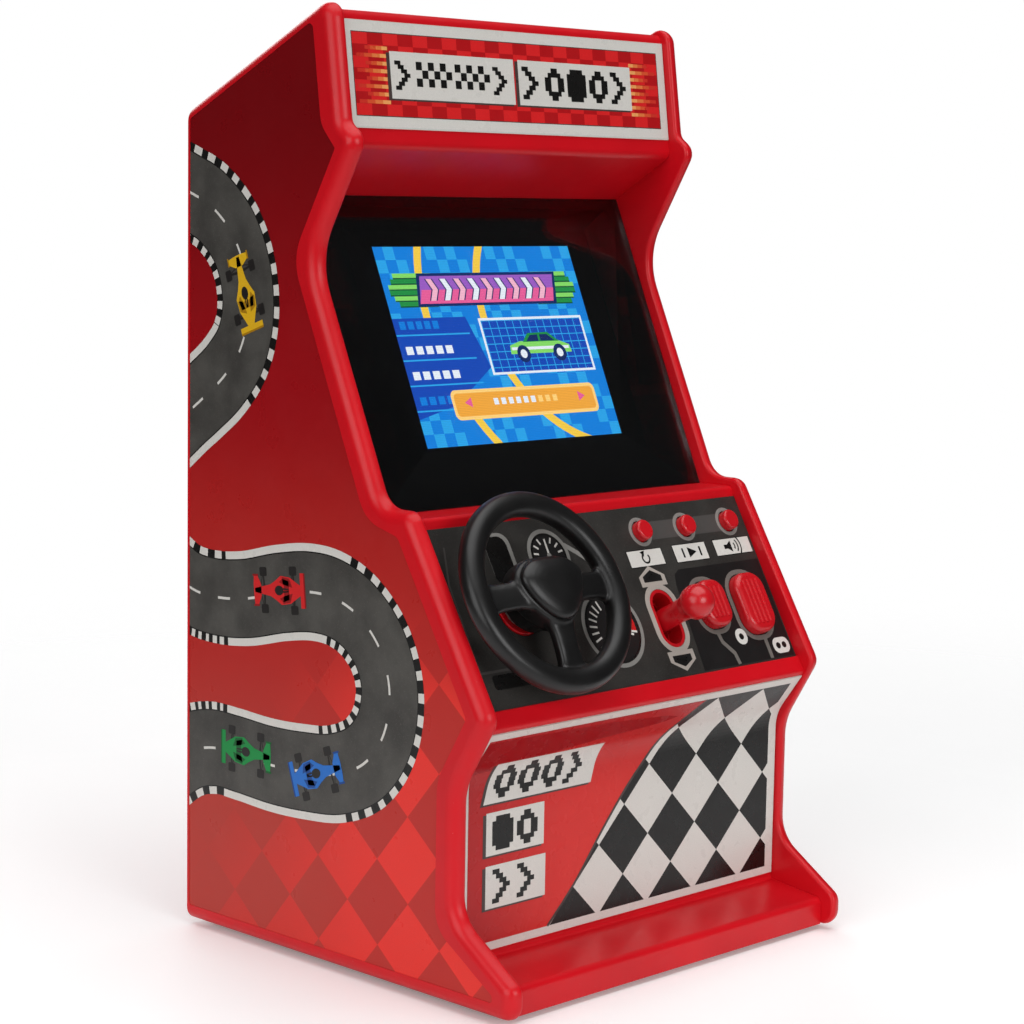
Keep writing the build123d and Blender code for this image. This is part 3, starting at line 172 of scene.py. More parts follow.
def metal(name, colour, roughness, brush=(0.4, 6.0, 6.0)):
    """Bare metal with brush marks, longest along the axis with the smallest number."""
    s = Shader(name, Metallic=1.0)
    at = s.place()
    lines = s.noise(s.stretched(at, brush), 1.0, 4, 0.7)
    s.set("Base Color", s.mix(s.span(lines, 0.3, 0.7), shade(colour, 0.85), colour))
    s.set("Roughness", s.span(lines, 0.3, 0.7, roughness - 0.06, roughness + 0.1))
    s.bump(lines, 0.01, 0.5)
    return s.material


def asphalt(name):
    """The printed road: worn patches and small pale stones."""
    s = Shader(name, Coat_Weight=0.04, Coat_Roughness=0.16, Specular_IOR_Level=0.3)
    at = s.place()
    worn = s.noise(at, 0.12, 4, 0.6)
    stones = s.span(s.noise(at, 6.0, 2), 0.62, 0.72, 0.0, 0.35)
    tone = s.mix(s.span(worn, 0.35, 0.65), srgb(62, 60, 57), srgb(80, 78, 74))
    s.set("Base Color", s.mix(stones, tone, srgb(120, 117, 112)))
    s.set("Roughness", s.span(worn, 0.3, 0.7, 0.34, 0.44))
    s.bump(s.noise(at, 0.7, 2), 0.01, 0.5)
    return s.material


def lozenge_mask(s, across, up, centre, row, column):
    """1 inside the lozenges that touch corner to corner, 0 between them; row and column are their steps."""
    det = row[0] * column[1] - row[1] * column[0]
    a = s.math("SUBTRACT", across, centre[0])
    b = s.math("SUBTRACT", up, centre[1])
    i = s.math("ADD", s.math("MULTIPLY", a, column[1] / det), s.math("MULTIPLY", b, -column[0] / det))
    j = s.math("ADD", s.math("MULTIPLY", a, -row[1] / det), s.math("MULTIPLY", b, row[0] / det))
    i = s.math("PINGPONG", s.math("ADD", i, 100.0), 0.5)
    j = s.math("PINGPONG", s.math("ADD", j, 100.0), 0.5)
    return s.span(s.math("ADD", i, j), 0.508, 0.492)


def side_print(name):
    """The side label: dark red above, brighter below, with tall two-tone lozenges low at the front."""
    s = Shader(name, Coat_Weight=0.04, Coat_Roughness=0.08, Specular_IOR_Level=0.22)
    at = s.place()
    axes = s.axes(at)
    tone = s.mix(s.span(axes[2], 95, 150, smooth=True), srgb(158, 14, 22), srgb(118, 5, 12))
    tone = s.mix(s.span(axes[2], 100, 62, smooth=True), tone, srgb(184, 40, 36))
    tone = s.mix(s.span(axes[2], 58, 24, smooth=True), tone, srgb(184, 56, 46))
    dark = s.mix(s.span(axes[1], 30, -28, smooth=True), tone, srgb(190, 46, 40))
    light = s.mix(s.span(axes[1], 20, -14, smooth=True), srgb(212, 50, 42), srgb(236, 54, 46))
    tiles = lozenge_mask(s, axes[1], axes[2], (-1.9, 20.9), (-14.8, 2.2), (-0.3, -14.6))
    reach = s.math("ADD", axes[2], s.math("MULTIPLY", axes[1], 1.5))
    fade = s.span(reach, 78, 26, smooth=True)
    low = s.span(axes[2], 66, 46, smooth=True)
    tone = s.mix(s.math("MULTIPLY", low, s.span(axes[1], 20, -10, smooth=True)), tone, dark)
    tone = s.mix(s.math("MULTIPLY", s.math("MULTIPLY", tiles, fade), low), tone, light)
    grain = s.noise(at, 5.5, 2)
    s.set("Base Color", s.mix(s.span(grain, 0.3, 0.7, 0.0, 0.1), tone, srgb(90, 8, 10)))
    s.set("Roughness", s.span(s.noise(at, 0.2, 4), 0.3, 0.7, 0.26, 0.38))
    s.bump(s.noise(at, 0.35, 2), 0.014, 0.5)
    return s.material


def deck_print(name):
    """The deck's sheet: charcoal with a fine pale speckle and a soft matt texture."""
    s = Shader(name, Specular_IOR_Level=0.35)
    at = s.place()
    cloud = s.noise(at, 0.12, 4, 0.6)
    dots = s.span(s.noise(at, 7.5, 1), 0.64, 0.72, 0.0, 0.3)
    tone = s.mix(s.span(cloud, 0.3, 0.7), srgb(36, 34, 32), srgb(50, 48, 45))
    s.set("Base Color", s.mix(dots, tone, srgb(112, 108, 104)))
    s.set("Roughness", s.span(cloud, 0.3, 0.7, 0.42, 0.54))
    s.bump(s.noise(at, 6.0, 2), 0.01, 0.6)
    return s.material


def lower_red(name):
    """Red print on the lower front, a warmer red towards the middle."""
    s = Shader(name, Coat_Weight=0.04, Coat_Roughness=0.08, Specular_IOR_Level=0.22)
    at = s.place()
    axes = s.axes(at)
    warm = s.math("MULTIPLY", s.span(axes[0], -40, -14, smooth=True), s.span(axes[2], 46, 30, smooth=True))
    tone = s.mix(warm, srgb(176, 34, 36), srgb(216, 48, 44))
    tone = s.mix(s.span(s.noise(at, 5.5, 2), 0.3, 0.7, 0.0, 0.08), tone, srgb(100, 8, 10))
    s.set("Base Color", tone)
    s.set("Roughness", s.span(s.noise(at, 0.25, 3), 0.3, 0.7, 0.22, 0.32))
    s.bump(s.noise(at, 0.4, 2), 0.014, 0.5)
    return s.material


SCREEN_STRENGTH = 1.3
CELL_ACROSS, CELL_UP = 0.306, 0.28  # pitch of the screen's cells, across and in height


def glow(name, *levels):
    """A lit area of the screen, with its fine grid of dark lines between the cells."""
    colour = srgb(*levels)
    s = Shader(name, Roughness=0.25)
    s.set("Base Color", shade(colour, 0.05))
    axes = s.axes(s.place())
    grid = 1.0
    for axis, pitch in ((axes[0], CELL_ACROSS), (axes[2], CELL_UP)):
        wave = s.math("PINGPONG", s.math("ADD", axis, 50.0), pitch / 2)
        line = s.span(wave, 0.0, 0.05, 0.72, 1.0)
        grid = line if grid == 1.0 else s.math("MULTIPLY", grid, line)
    s.set("Emission Color", s.mix(grid, (0.0, 0.0, 0.0), colour))
    s.set("Emission Strength", SCREEN_STRENGTH)
    return s.material


def clear_acrylic(name):
    """The clear window, with a faint haze and wipe marks."""
    s = Shader(name, Transmission_Weight=1.0, IOR=1.49, Specular_IOR_Level=0.25)
    s.set("Base Color", (0.93, 0.93, 0.94))
    at = s.place()
    haze = s.span(s.noise(at, 0.09, 5, 0.65), 0.5, 0.8, 0.0, 0.05)
    wipe = s.noise(s.stretched(at, (0.08, 0.5, 0.9), (0, 0.6, 0)), 1.0)
    s.set("Roughness", s.math("ADD", haze, s.span(wipe, 0.6, 0.8, 0.01, 0.04)))
    return s.material


def board(name):
    """Green circuit board with paler copper tracks under the mask."""
    s = Shader(name, Coat_Weight=0.5, Coat_Roughness=0.2)
    at = s.place()
    cells = s.add("TexVoronoi", {"Vector": at, "Scale": 0.35}, distance="MANHATTAN", feature="F1")
    bands = s.span(s.math("PINGPONG", cells.outputs["Distance"], 0.12), 0.05, 0.07)
    s.set("Base Color", s.mix(bands, (0.015, 0.12, 0.045), (0.03, 0.22, 0.08)))
    s.set("Roughness", 0.4)
    s.bump(bands, 0.03, 0.5)
    return s.material


def banded(name, low, high, edge, axis, roughness=0.3):
    """Two colours that meet across an axis, as on a cell's sleeve."""
    s = Shader(name, Coat_Weight=0.5, Coat_Roughness=0.08)
    at = s.place()
    split = s.span(s.axes(at)[axis], edge, edge + 0.3)
    tone = s.mix(split, low, high)
    s.set("Base Color", s.mix(s.span(s.noise(at, 2.0, 3), 0.3, 0.7, 0.0, 0.15), tone, (0.02, 0.02, 0.02)))
    s.set("Roughness", s.span(s.noise(at, 0.4, 3), 0.3, 0.7, roughness - 0.05, roughness + 0.08))
    return s.material


PLATE_WHITE = srgb(206, 204, 198)
red_plastic = plastic("red_plastic", srgb(206, 12, 26), 0.33, peel=0.014, speck=0.12, shine=0.32)
button_plastic = plastic("button_plastic", srgb(198, 14, 26), 0.28, peel=0.008, coat=0.1)
black_plastic = plastic("black_plastic", srgb(20, 20, 21), 0.36, peel=0.012, grain=0.15)
wheel_black = plastic("wheel_black", srgb(11, 10, 10), 0.36, peel=0.008, grain=0.2)
inner_black = plastic("inner_black_plastic", srgb(30, 30, 32), 0.5, peel=0.02, grain=0.4)
acetal = plastic("acetal", srgb(226, 224, 214), 0.4, peel=0.01)
rubber = plastic("foot_rubber", srgb(26, 25, 25), 0.75, peel=0.03, grain=0.8)
steel = metal("zinc_plated_steel", (0.62, 0.62, 0.6), 0.32)
spring_steel = metal("spring_steel", (0.68, 0.67, 0.64), 0.25)
board_green = board("board_green")
ribbon_grey = banded("ribbon_grey", srgb(176, 178, 180), srgb(196, 196, 192), -1.0, 0, 0.45)
MATERIAL_NODES = (
    (red_plastic, "side_panel_left side_panel_right front_fascia rear_cover base_plate battery_door"),
    (button_plastic, "lever_cup control_lever reset_button start_button volume_button a_button b_button"),
    (black_plastic, "steering_wheel wheel_hub_cap power_switch_knob"),
    (inner_black, "battery_box power_switch_body steering_switch_left steering_switch_right"),
    (acetal, "shaft_bush steering_cam ribbon_socket"),
    (rubber, "rubber_foot_1 rubber_foot_2 rubber_foot_3 rubber_foot_4"),
    (plastic("silicone", srgb(176, 176, 170), 0.55, peel=0.01, grain=0.2), "button_membrane"),
    (plastic("epoxy", srgb(14, 14, 15), 0.22, peel=0.05), "processor_blob"),
    (plastic("mask_print", srgb(3, 3, 4), 0.35, peel=0.004, shine=0.15), "window_mask"),
    (plastic("paper_cone", srgb(34, 33, 32), 0.8, peel=0.03, grain=0.9), "speaker"),
    (steel, "steering_shaft lever_pin wheel_screw base_screws rear_cover_screws battery_door_screw"),
    (steel, "main_board_screws control_board_screws"),
    (spring_steel, "shaft_retaining_ring centring_spring battery_springs battery_plates"),
    (metal("tray_aluminium", (0.7, 0.7, 0.71), 0.4, brush=(6.0, 0.4, 0.4)), "lcd_backlight_tray"),
    (board_green, "main_board control_board"),
    (ribbon_grey, "ribbon_cable"),
    (clear_acrylic("window_clear"), "screen_window"),
    (side_print("side_print_left"), "side_label_left"),
    (side_print("side_print_right"), "side_label_right"),
    (ink("marquee_base", PLATE_WHITE), "marquee_label"),
    (ink("lower_base", PLATE_WHITE), "lower_label"),
    (deck_print("deck_print"), "deck_overlay"),
    (plastic("lcd_glass", srgb(16, 20, 30), 0.12, peel=0.002), "lcd_glass"),
)
node_materials = {name: material for material, names in MATERIAL_NODES for name in names.split()}
SLEEVE_DARK, SLEEVE_COPPER = srgb(26, 26, 28), srgb(176, 108, 52)
SLEEVE_SPLIT = 8  # how far from the middle of a cell its sleeve's two colours meet
for number, side in ((1, 1), (2, -1), (3, 1)):
    cell = f"battery_{number}"
    low, high = (SLEEVE_DARK, SLEEVE_COPPER)[::side]
    node_materials[cell] = banded(f"cell_{cell}", low, high, side * SLEEVE_SPLIT, 0)
FLAT_PIECES = ("label", "overlay", "mask", "board")
SHARP_ANGLE = radians(32)  # between faces that meet in a crisp edge
for name, node in NODES.items():
    node.data.materials.clear()
    node.data.materials.append(node_materials[name])
    if not any(word in name for word in FLAT_PIECES):
        for face in node.data.polygons:
            face.use_smooth = True
        node.data.set_sharp_from_angle(angle=SHARP_ANGLE)


def new_piece(name, mesh, materials=()):
    """A new object with the faces of a bmesh, which is used up."""
    data = bpy.data.meshes.new(name)
    mesh.to_mesh(data)
    mesh.free()
    for material in materials:
        data.materials.append(material)
    return link_piece(name, data)


def link_piece(name, data):
    piece = bpy.data.objects.new(name, data)
    bpy.context.scene.collection.objects.link(piece)
    return piece


# ---------------------------------------------------------------- printed artwork


class Slope:
    """A flat sloping face, from two (y, z) points in mm: u to the right, v down the slope."""

    def __init__(self, top, bottom, lift=0.0):
        length = hypot(bottom[0] - top[0], bottom[1] - top[1])
        self.top = top
        self.down = ((bottom[0] - top[0]) / length, (bottom[1] - top[1]) / length)
        self.lift = lift

    def at(self, u, v, lift):
        rise = self.lift + lift
        y = self.top[0] + v * self.down[0] + rise * self.down[1]
        z = self.top[1] + v * self.down[1] - rise * self.down[0]
        return Vector((u, y, z)) * MM


class Wrap:
    """The lower front: a slope, a round bend and an upright face; v runs down over all three."""

    def __init__(self, top, bend, radius, lift):
        slope = atan2(bend[0] - top[0], top[1] - bend[1])
        tangent = radius * abs(sin(slope / 2) / cos(slope / 2))
        self.slope, self.radius, self.lift = slope, radius, lift
        self.top, self.bend, self.tangent = top, bend, tangent
        self.run = hypot(bend[0] - top[0], bend[1] - top[1]) - tangent
        self.arc = radius * slope

    def cuts(self):
        """Where flat artwork is cut so that it can follow the bend."""
        return [self.run + self.arc * n / 8 for n in range(9)]

    def at(self, u, v, lift):
        rise = self.lift + lift
        if v <= self.run:
            angle = self.slope
            y, z = self.top[0] + v * sin(angle), self.top[1] - v * cos(angle)
        elif v >= self.run + self.arc:
            angle = 0.0
            y, z = self.bend[0], self.bend[1] - self.tangent - (v - self.run - self.arc)
        else:
            angle = self.slope - (v - self.run) / self.radius
            y = self.bend[0] - self.radius * (1 - cos(angle))
            z = self.bend[1] - self.tangent + self.radius * sin(angle)
        return Vector((u, y - rise * cos(angle), z - rise * sin(angle))) * MM


class Side:
    """A side label's face: u is y and v is z."""

    def __init__(self, node, sign):
        low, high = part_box(node)
        self.x = high.x if sign > 0 else low.x
        self.sign = sign

    def at(self, u, v, lift):
        return Vector((self.x + self.sign * lift * MM, u * MM, v * MM))


CIRCLE_STEPS = 48


class Print:
    """Flat artwork in a surface's own millimetres, one thin layer of ink over another."""

    LAYER = 0.009  # thickness of one layer

    def __init__(self, surface):
        self.surface = surface
        self.inks = []
        self.areas = []

    def area(self, points, material, layer):
        if material not in self.inks:
            self.inks.append(material)
        self.areas.append((points, self.inks.index(material), layer))

    def box(self, left, top, right, bottom, material, layer, skew=0.0):
        middle = (top + bottom) / 2
        corners = ((left, top), (right, top), (right, bottom), (left, bottom))
        self.area([(x + skew * (middle - y), y) for x, y in corners], material, layer)

    def disc(self, u, v, radius, material, layer, inner=0.0, start=0, end=360):
        """A disc, or a ring or part of one if it has an inner radius."""
        count = max(3, int(CIRCLE_STEPS * (end - start) / 360))
        angles = [radians(start + (end - start) * n / count) for n in range(count + 1)]
        ring = [(u + radius * cos(a), v + radius * sin(a)) for a in angles]
        if not inner:
            self.area(ring[:-1], material, layer)
            return
        hole = [(u + inner * cos(a), v + inner * sin(a)) for a in angles]
        for n in range(count):
            self.area([ring[n], ring[n + 1], hole[n + 1], hole[n]], material, layer)

    def band(self, path, near, far, material, layer, wanted=None):
        """Strip beside a path, from near to far off it; wanted(step) says where it is drawn."""
        left = offset(path, near)
        right = offset(path, far)
        for n in range(len(path) - 1):
            if wanted is None or wanted(n):
                self.area([left[n], left[n + 1], right[n + 1], right[n]], material, layer)

    def line(self, points, width, material, layer):
        self.band(points, -width / 2, width / 2, material, layer)

    def build(self, name, slot, cuts=(), limit=None, under=0.01):
        """Makes the piece: cut at each v in cuts, ended at u = limit, its lowest layer this far off."""
        mesh = bmesh.new()
        for points, index, layer in self.areas:
            face = mesh.faces.new([mesh.verts.new((u, v, layer)) for u, v in points])
            face.material_index = index
        bmesh.ops.triangulate(mesh, faces=mesh.faces[:])
        planes = [((0, cut, 0), (0, 1, 0), False) for cut in cuts]
        if limit:
            planes.append(((limit, 0, 0), (1, 0, 0), True))
        for spot, normal, clear in planes:
            geometry = mesh.verts[:] + mesh.edges[:] + mesh.faces[:]
            bmesh.ops.bisect_plane(mesh, geom=geometry, plane_co=spot, plane_no=normal, clear_outer=clear)
        for vert in mesh.verts:
            u, v, layer = vert.co
            vert.co = self.surface.at(u, v, under + layer * self.LAYER)
        mesh.normal_update()
        outward = self.surface.at(0, 0, 1) - self.surface.at(0, 0, 0)
        for face in mesh.faces:
            if face.normal.dot(outward) < 0:
                face.normal_flip()
        piece = new_piece(name, mesh, self.inks)
        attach(piece, "cabinet")


def capsule(u, v, width, length, radius, steps=8):
    """Outline of a rounded box round (u, v)."""
    radius = min(radius, width / 2, length / 2)
    points = []
    for sx, sy, start in ((1, -1, -90), (1, 1, 0), (-1, 1, 90), (-1, -1, 180)):
        for step in range(steps + 1):
            angle = radians(start + step * 90 / steps)
            points.append((u + sx * (width / 2 - radius) + radius * cos(angle),
                           v + sy * (length / 2 - radius) + radius * sin(angle)))
    return points


def offset(path, distance):
    """The path moved sideways."""
    moved = []
    for n, (x, y) in enumerate(path):
        before = path[max(0, n - 1)]
        after = path[min(len(path) - 1, n + 1)]
        dx, dy = after[0] - before[0], after[1] - before[1]
        size = hypot(dx, dy) or 1.0
        moved.append((x - dy / size * distance, y + dx / size * distance))
    return moved


def smooth_path(points, spacing):
    """Evenly spaced places on a smooth curve through the points."""
    ends = [points[0]] + list(points) + [points[-1]]
    fine = []
    for a, b, c, d in zip(ends, ends[1:], ends[2:], ends[3:]):
        for step in range(40):
            t = step / 40
            fine.append(tuple(
                0.5 * (2 * b[k] + (c[k] - a[k]) * t + (2 * a[k] - 5 * b[k] + 4 * c[k] - d[k]) * t * t
                       + (3 * b[k] - a[k] - 3 * c[k] + d[k]) * t ** 3)
                for k in (0, 1)))
    fine.append(tuple(points[-1]))
    even, left = [fine[0]], spacing
    for p, q in zip(fine, fine[1:]):
        size = hypot(q[0] - p[0], q[1] - p[1])
        while size >= left:
            t = left / size
            p = (p[0] + (q[0] - p[0]) * t, p[1] + (q[1] - p[1]) * t)
            even.append(p)
            size -= left
            left = spacing
        left -= size
    return even


WHITE = ink("ink_white", srgb(214, 211, 205), 0.3)
BLACK = ink("ink_black", srgb(22, 21, 20), 0.28)
GREY = ink("ink_grey", srgb(134, 132, 128), 0.36)
SHADOW = ink("ink_shadow", srgb(70, 58, 56), 0.32)
ROAD = asphalt("ink_road")
CAR_INKS = {
    "yellow": (ink("ink_yellow", srgb(224, 176, 30)), ink("ink_yellow_dark", srgb(168, 122, 14))),
    "red": (ink("ink_car_red", srgb(208, 34, 36)), ink("ink_car_red_dark", srgb(140, 18, 22))),
    "green": (ink("ink_green", srgb(18, 138, 66)), ink("ink_green_dark", srgb(10, 92, 42))),
    "blue": (ink("ink_blue", srgb(38, 110, 196)), ink("ink_blue_dark", srgb(20, 68, 138))),
}
TYRE = ink("ink_tyre", srgb(34, 31, 30), 0.35)

# Side artwork, in mm: y towards the back, z up
UPPER_ROAD = [(49, 134), (41, 131.2), (34.5, 128.6), (28.9, 124.0), (25.6, 118.0), (24.7, 111.0),
              (26.6, 104.6), (31.0, 99.6), (36.5, 95.6), (41, 92.6), (48, 87.5)]
LOWER_ROAD = [(48, 65.4), (40.5, 61.6), (33.5, 60.7), (25, 61.4), (15.7, 63.5), (8, 64.6), (1.5, 64.2),
              (-4.6, 61.8), (-9.6, 57.0), (-11.9, 50.4), (-10.6, 43.2), (-6.0, 37.6), (1.2, 34.5),
              (9.5, 33.5), (18, 33.2), (27, 33.6), (34, 33.6), (40.5, 31.8), (47, 27.5)]
ROAD_HALF = 6.9
KERB = 1.35
KEYLINE = 0.22
ROAD_STEP = 0.33
DASH_EVERY, DASH_LENGTH, DASH_WIDTH = 8.2, 3.2, 0.45


def draw_road(art, points, kerb_block, line_zone):
    """A road along the points, with blocks this long on each kerb and white lines in the zone."""
    path = smooth_path(points, ROAD_STEP)
    art.band(path, -ROAD_HALF, ROAD_HALF, ROAD, 1)
    for side in (-1, 1):
        outer = offset(path, side * (ROAD_HALF + KERB))
        near, far = side * ROAD_HALF, side * (ROAD_HALF + KERB)
        walked = [0.0]
        for p, q in zip(outer, outer[1:]):
            walked.append(walked[-1] + hypot(q[0] - p[0], q[1] - p[1]))
        is_line = [line_zone(side, *p) for p in path]
        size = kerb_block[side]
        art.band(path, near, far, WHITE, 2,
                 lambda n: is_line[n] or walked[n] % (2 * size) < size * 1.05)
        art.band(path, near, far, BLACK, 1, lambda n: not is_line[n])
        art.band(path, near - side * KEYLINE, near, BLACK, 2)
    walked = 0.0
    for n in range(len(path) - 1):
        if walked % DASH_EVERY < DASH_LENGTH:
            art.line(path[n:n + 2], DASH_WIDTH, WHITE, 2)
        walked += ROAD_STEP


def draw_car(art, at, heading, inks):
    """Open-wheeled racing car from above, 13.6 mm long; heading in degrees."""
    body, dark = inks
    turn = radians(heading)

    def put(points, material, layer):
        turned = [(x * cos(turn) - y * sin(turn), x * sin(turn) + y * cos(turn)) for x, y in points]
        art.area([(at[0] + x, at[1] + y) for x, y in turned], material, layer)

    def mirrored(points):
        return points + [(x, -y) for x, y in reversed(points)]

    def block(x, y, length, width, material, layer):
        put([(x - length / 2, y - width / 2), (x + length / 2, y - width / 2),
             (x + length / 2, y + width / 2), (x - length / 2, y + width / 2)], material, layer)

    tyre = mirrored([(-0.95, -0.62), (-0.7, -0.78), (0.7, -0.78), (0.95, -0.62)])
    for side in (-1, 1):
        for x, reach in ((-3.9, 3.35), (3.9, 3.2)):
            put([(x - 0.5, 0), (x + 0.1, 0), (x + 0.15, side * reach), (x - 0.1, side * reach)], TYRE, 3)
            put([(x + 0.9, 0), (x + 1.1, 0), (x + 0.15, side * reach), (x - 0.05, side * reach)], TYRE, 3)
            put([(x + a, side * reach + b) for a, b in tyre], TYRE, 4)
    block(-6.2, 0, 1.1, 6.0, body, 4)
    block(-6.75, 0, 0.35, 6.0, dark, 5)
    put(mirrored([(-5.8, 0.8), (-4.4, 1.5), (-3.0, 2.25), (-0.6, 2.5),
                  (0.7, 1.7), (2.2, 1.0), (5.4, 0.5), (6.3, 0.35)]), body, 5)
    put(mirrored([(4.6, 1.0), (5.6, 2.7), (6.4, 2.8), (6.6, 1.0)]), body, 5)
    put(mirrored([(-2.7, 1.6), (-1.0, 2.0), (-0.2, 1.4), (-1.4, 1.0)]), dark, 6)
    for side in (-1, 1):
        put([(-3.6, side * 0.5), (-1.2, side * 1.0), (-1.0, side * 2.3), (-2.9, side * 2.05)], dark, 6)
        block(6.0, side * 2.6, 1.5, 0.35, dark, 6)
    put([(1.15 * cos(a * pi / 8) - 0.1, 0.85 * sin(a * pi / 8)) for a in range(16)], TYRE, 7)
    put(mirrored([(-2.6, 0.3), (-1.2, 0.42), (-1.2, 0.1), (-2.6, 0.1)]), TYRE, 7)


SIDE_ART_END = 40.45  # the label's back edge


def draw_side(node, sign):
    art = Print(Side(node, sign))
    draw_road(art, UPPER_ROAD, {-1: 1.9, 1: 1.25},
              lambda side, y, z: z < (101.0 if side < 0 else 105.0))
    draw_road(art, LOWER_ROAD, {-1: 1.9, 1: 1.05},
              lambda side, y, z: (0.5 if side < 0 else 4.5) < y < 30.0)
    draw_car(art, (25.5, 114.2), 71, CAR_INKS["yellow"])
    draw_car(art, (16.1, 63.9), -6, CAR_INKS["red"])
    draw_car(art, (24.6, 34.4), 180, CAR_INKS["green"])
    draw_car(art, (6.0, 33.8), 161, CAR_INKS["blue"])
    art.build(node.replace("label", "artwork"), "side_art", limit=SIDE_ART_END)


draw_side("side_label_left", -1)
draw_side("side_label_right", 1)

# Marquee: white border, two-red chequers, streaks of speed and two plates with pixel symbols
MARQUEE = Slope((5.27, 159.8), (2.97, 142.08), lift=0.2)
STREAKS = [ink(f"ink_streak_{n}", colour, 0.3) for n, colour in enumerate(
    (srgb(206, 52, 40), srgb(216, 84, 48), srgb(226, 122, 66), srgb(238, 164, 96)))]
CHECK_A = ink("ink_check_light", srgb(218, 34, 36))
CHECK_B = ink("ink_check_dark", srgb(178, 16, 22))

CHEVRON = ("##....", ".##...", "..##..", "...##.", "..##..", ".##...", "##....")
CHECKS = ("##..##..##..", "##..##..##..", "..##..##..##", "..##..##..##",
          "##..##..##..", "##..##..##..", "............")
DIAMOND = ("..##..", ".####.", "##..##", "##..##", "##..##", ".####.", "..##..")
LAMP = (".####.", "######", "######", "######", "######", "######", ".####.")


def draw_pixels(art, symbol, left, top, size, material, layer, skew=0.0):
    """One symbol, drawn by runs of squares; gives the place where the next one starts."""
    rows = len(symbol)
    for row, line in enumerate(symbol):
        start = None
        for column, mark in enumerate(line + "."):
            if mark == "#" and start is None:
                start = column
            if mark != "#" and start is not None:
                slip = skew * (rows / 2 - row) * size
                art.box(left + start * size + slip, top + row * size, left + column * size + slip,
                        top + (row + 1) * size, material, layer)
                start = None
    return left + (len(symbol[0]) + 1) * size


def draw_plate(art, left, top, right, bottom, symbols, size, layer, skew=0.0, margin=0.9):
    """A white plate with a shadow and a row of symbols, each seven squares high."""
    art.box(left - 0.75, top + 0.25, right - 0.5, bottom + 0.3, SHADOW, layer, skew=skew)
    art.box(left, top, right, bottom, WHITE, layer + 1, skew=skew)
    at = left + margin
    for symbol in symbols:
        at = draw_pixels(art, symbol, at, (top + bottom) / 2 - 3.5 * size, size, BLACK, layer + 2, skew)


marquee = Print(MARQUEE)
marquee.area(capsule(0, 8.875, 79.2, 17.45, 0.6, 6), WHITE, 0)
marquee.box(-37.9, 1.9, 37.9, 15.9, SHADOW, 1)
CHECK_LEFT, CHECK_TOP, CHECK_W, CHECK_H = -37.75, 2.05, 3.43, 1.96
marquee.box(CHECK_LEFT, CHECK_TOP, -CHECK_LEFT, 15.75, CHECK_A, 2)
for row in range(7):
    for column in range(22):
        if (row + column) % 2:
            left, top = CHECK_LEFT + column * CHECK_W, CHECK_TOP + row * CHECK_H
            marquee.box(left, top, left + CHECK_W, top + CHECK_H, CHECK_B, 3)
STREAK_STEP = 1.75  # length of one shade in the long streaks
for row in range(8):
    top = 4.2 + row * 1.28
    reach = 1.0 if row % 2 else 0.72
    for side in (-1, 1):
        for part in range(4):
            near = 30.0 + (3 - part) * STREAK_STEP * reach
            a, b = side * near, side * (near + STREAK_STEP * reach)
            marquee.box(min(a, b), top, max(a, b), top + 0.62, STREAKS[part], 4)
draw_plate(marquee, -29.6, 4.9, -0.2, 12.8, (CHEVRON, CHECKS, CHECKS, CHEVRON), 0.7, 5, margin=1.0)
draw_plate(marquee, 0.9, 4.9, 30.2, 12.8, (CHEVRON, DIAMOND, LAMP, DIAMOND, CHEVRON), 0.82, 5)
marquee.build("marquee_artwork", "marquee_art")

# Lower front: white border, lozenges at the right, red field with a dark swoosh and three plates
LOWER = Wrap((-32.75, 46.8), (-26.45, 38.2), 8.0, 0.2)
LOWER_FIELD = lower_red("ink_lower_red")
SWOOSH = ink("ink_swoosh", srgb(150, 8, 16), 0.26)
LABEL_START = 0.9
LABEL_FOOT = 8.45  # height of the label's lower edge
LABEL_END = LOWER.run + LOWER.arc + (LOWER.bend[1] - LOWER.tangent - LABEL_FOOT)
UPRIGHT = LOWER.run + LOWER.arc - LOWER.tangent  # the bend's corner, from which the upright face is measured
FIELD = (-39.0, LABEL_START + 1.5, 37.7, LABEL_END - 1.4)


def clip_to(points, left, top, right, bottom):
    """A convex outline cut to a rectangle."""
    for axis, edge, keep in ((0, left, 1), (0, right, -1), (1, top, 1), (1, bottom, -1)):
        kept = []
        for p, q in zip(points, points[1:] + points[:1]):
            inside_p, inside_q = (p[axis] - edge) * keep >= 0, (q[axis] - edge) * keep >= 0
            if inside_p:
                kept.append(p)
            if inside_p != inside_q:
                t = (edge - p[axis]) / (q[axis] - p[axis])
                kept.append((p[0] + (q[0] - p[0]) * t, p[1] + (q[1] - p[1]) * t))
        points = kept
    return points


lower = Print(LOWER)
lower.box(-39.6, LABEL_START, 39.6, LABEL_END, WHITE, 0)
lower.box(*FIELD, BLACK, 1)
LOZENGE_U, LOZENGE_V = 6.25, 6.15
for column in range(-2, 4):
    for row in range(-3, 3):
        u = 4.95 + column * 2 * LOZENGE_U
        v = UPRIGHT + 10.45 + row * 2 * LOZENGE_V
        tile = [(u, v - LOZENGE_V), (u + LOZENGE_U, v), (u, v + LOZENGE_V), (u - LOZENGE_U, v)]
        tile = clip_to(tile, *FIELD)
        if len(tile) > 2:
            lower.area(tile, WHITE, 2)
edge = smooth_path([(-20.0, FIELD[3]), (-13.4, UPRIGHT + 22.0), (-6.8, UPRIGHT + 14.0), (-0.8, UPRIGHT + 7.4),
                    (4.6, UPRIGHT + 2.4), (9.8, UPRIGHT - 2.9), (14.4, FIELD[1])], 0.8)
edge[-1] = (14.5, FIELD[1])
lower.area([(FIELD[0], FIELD[1])] + list(reversed(edge)) + [(FIELD[0], FIELD[3])], LOWER_FIELD, 3)
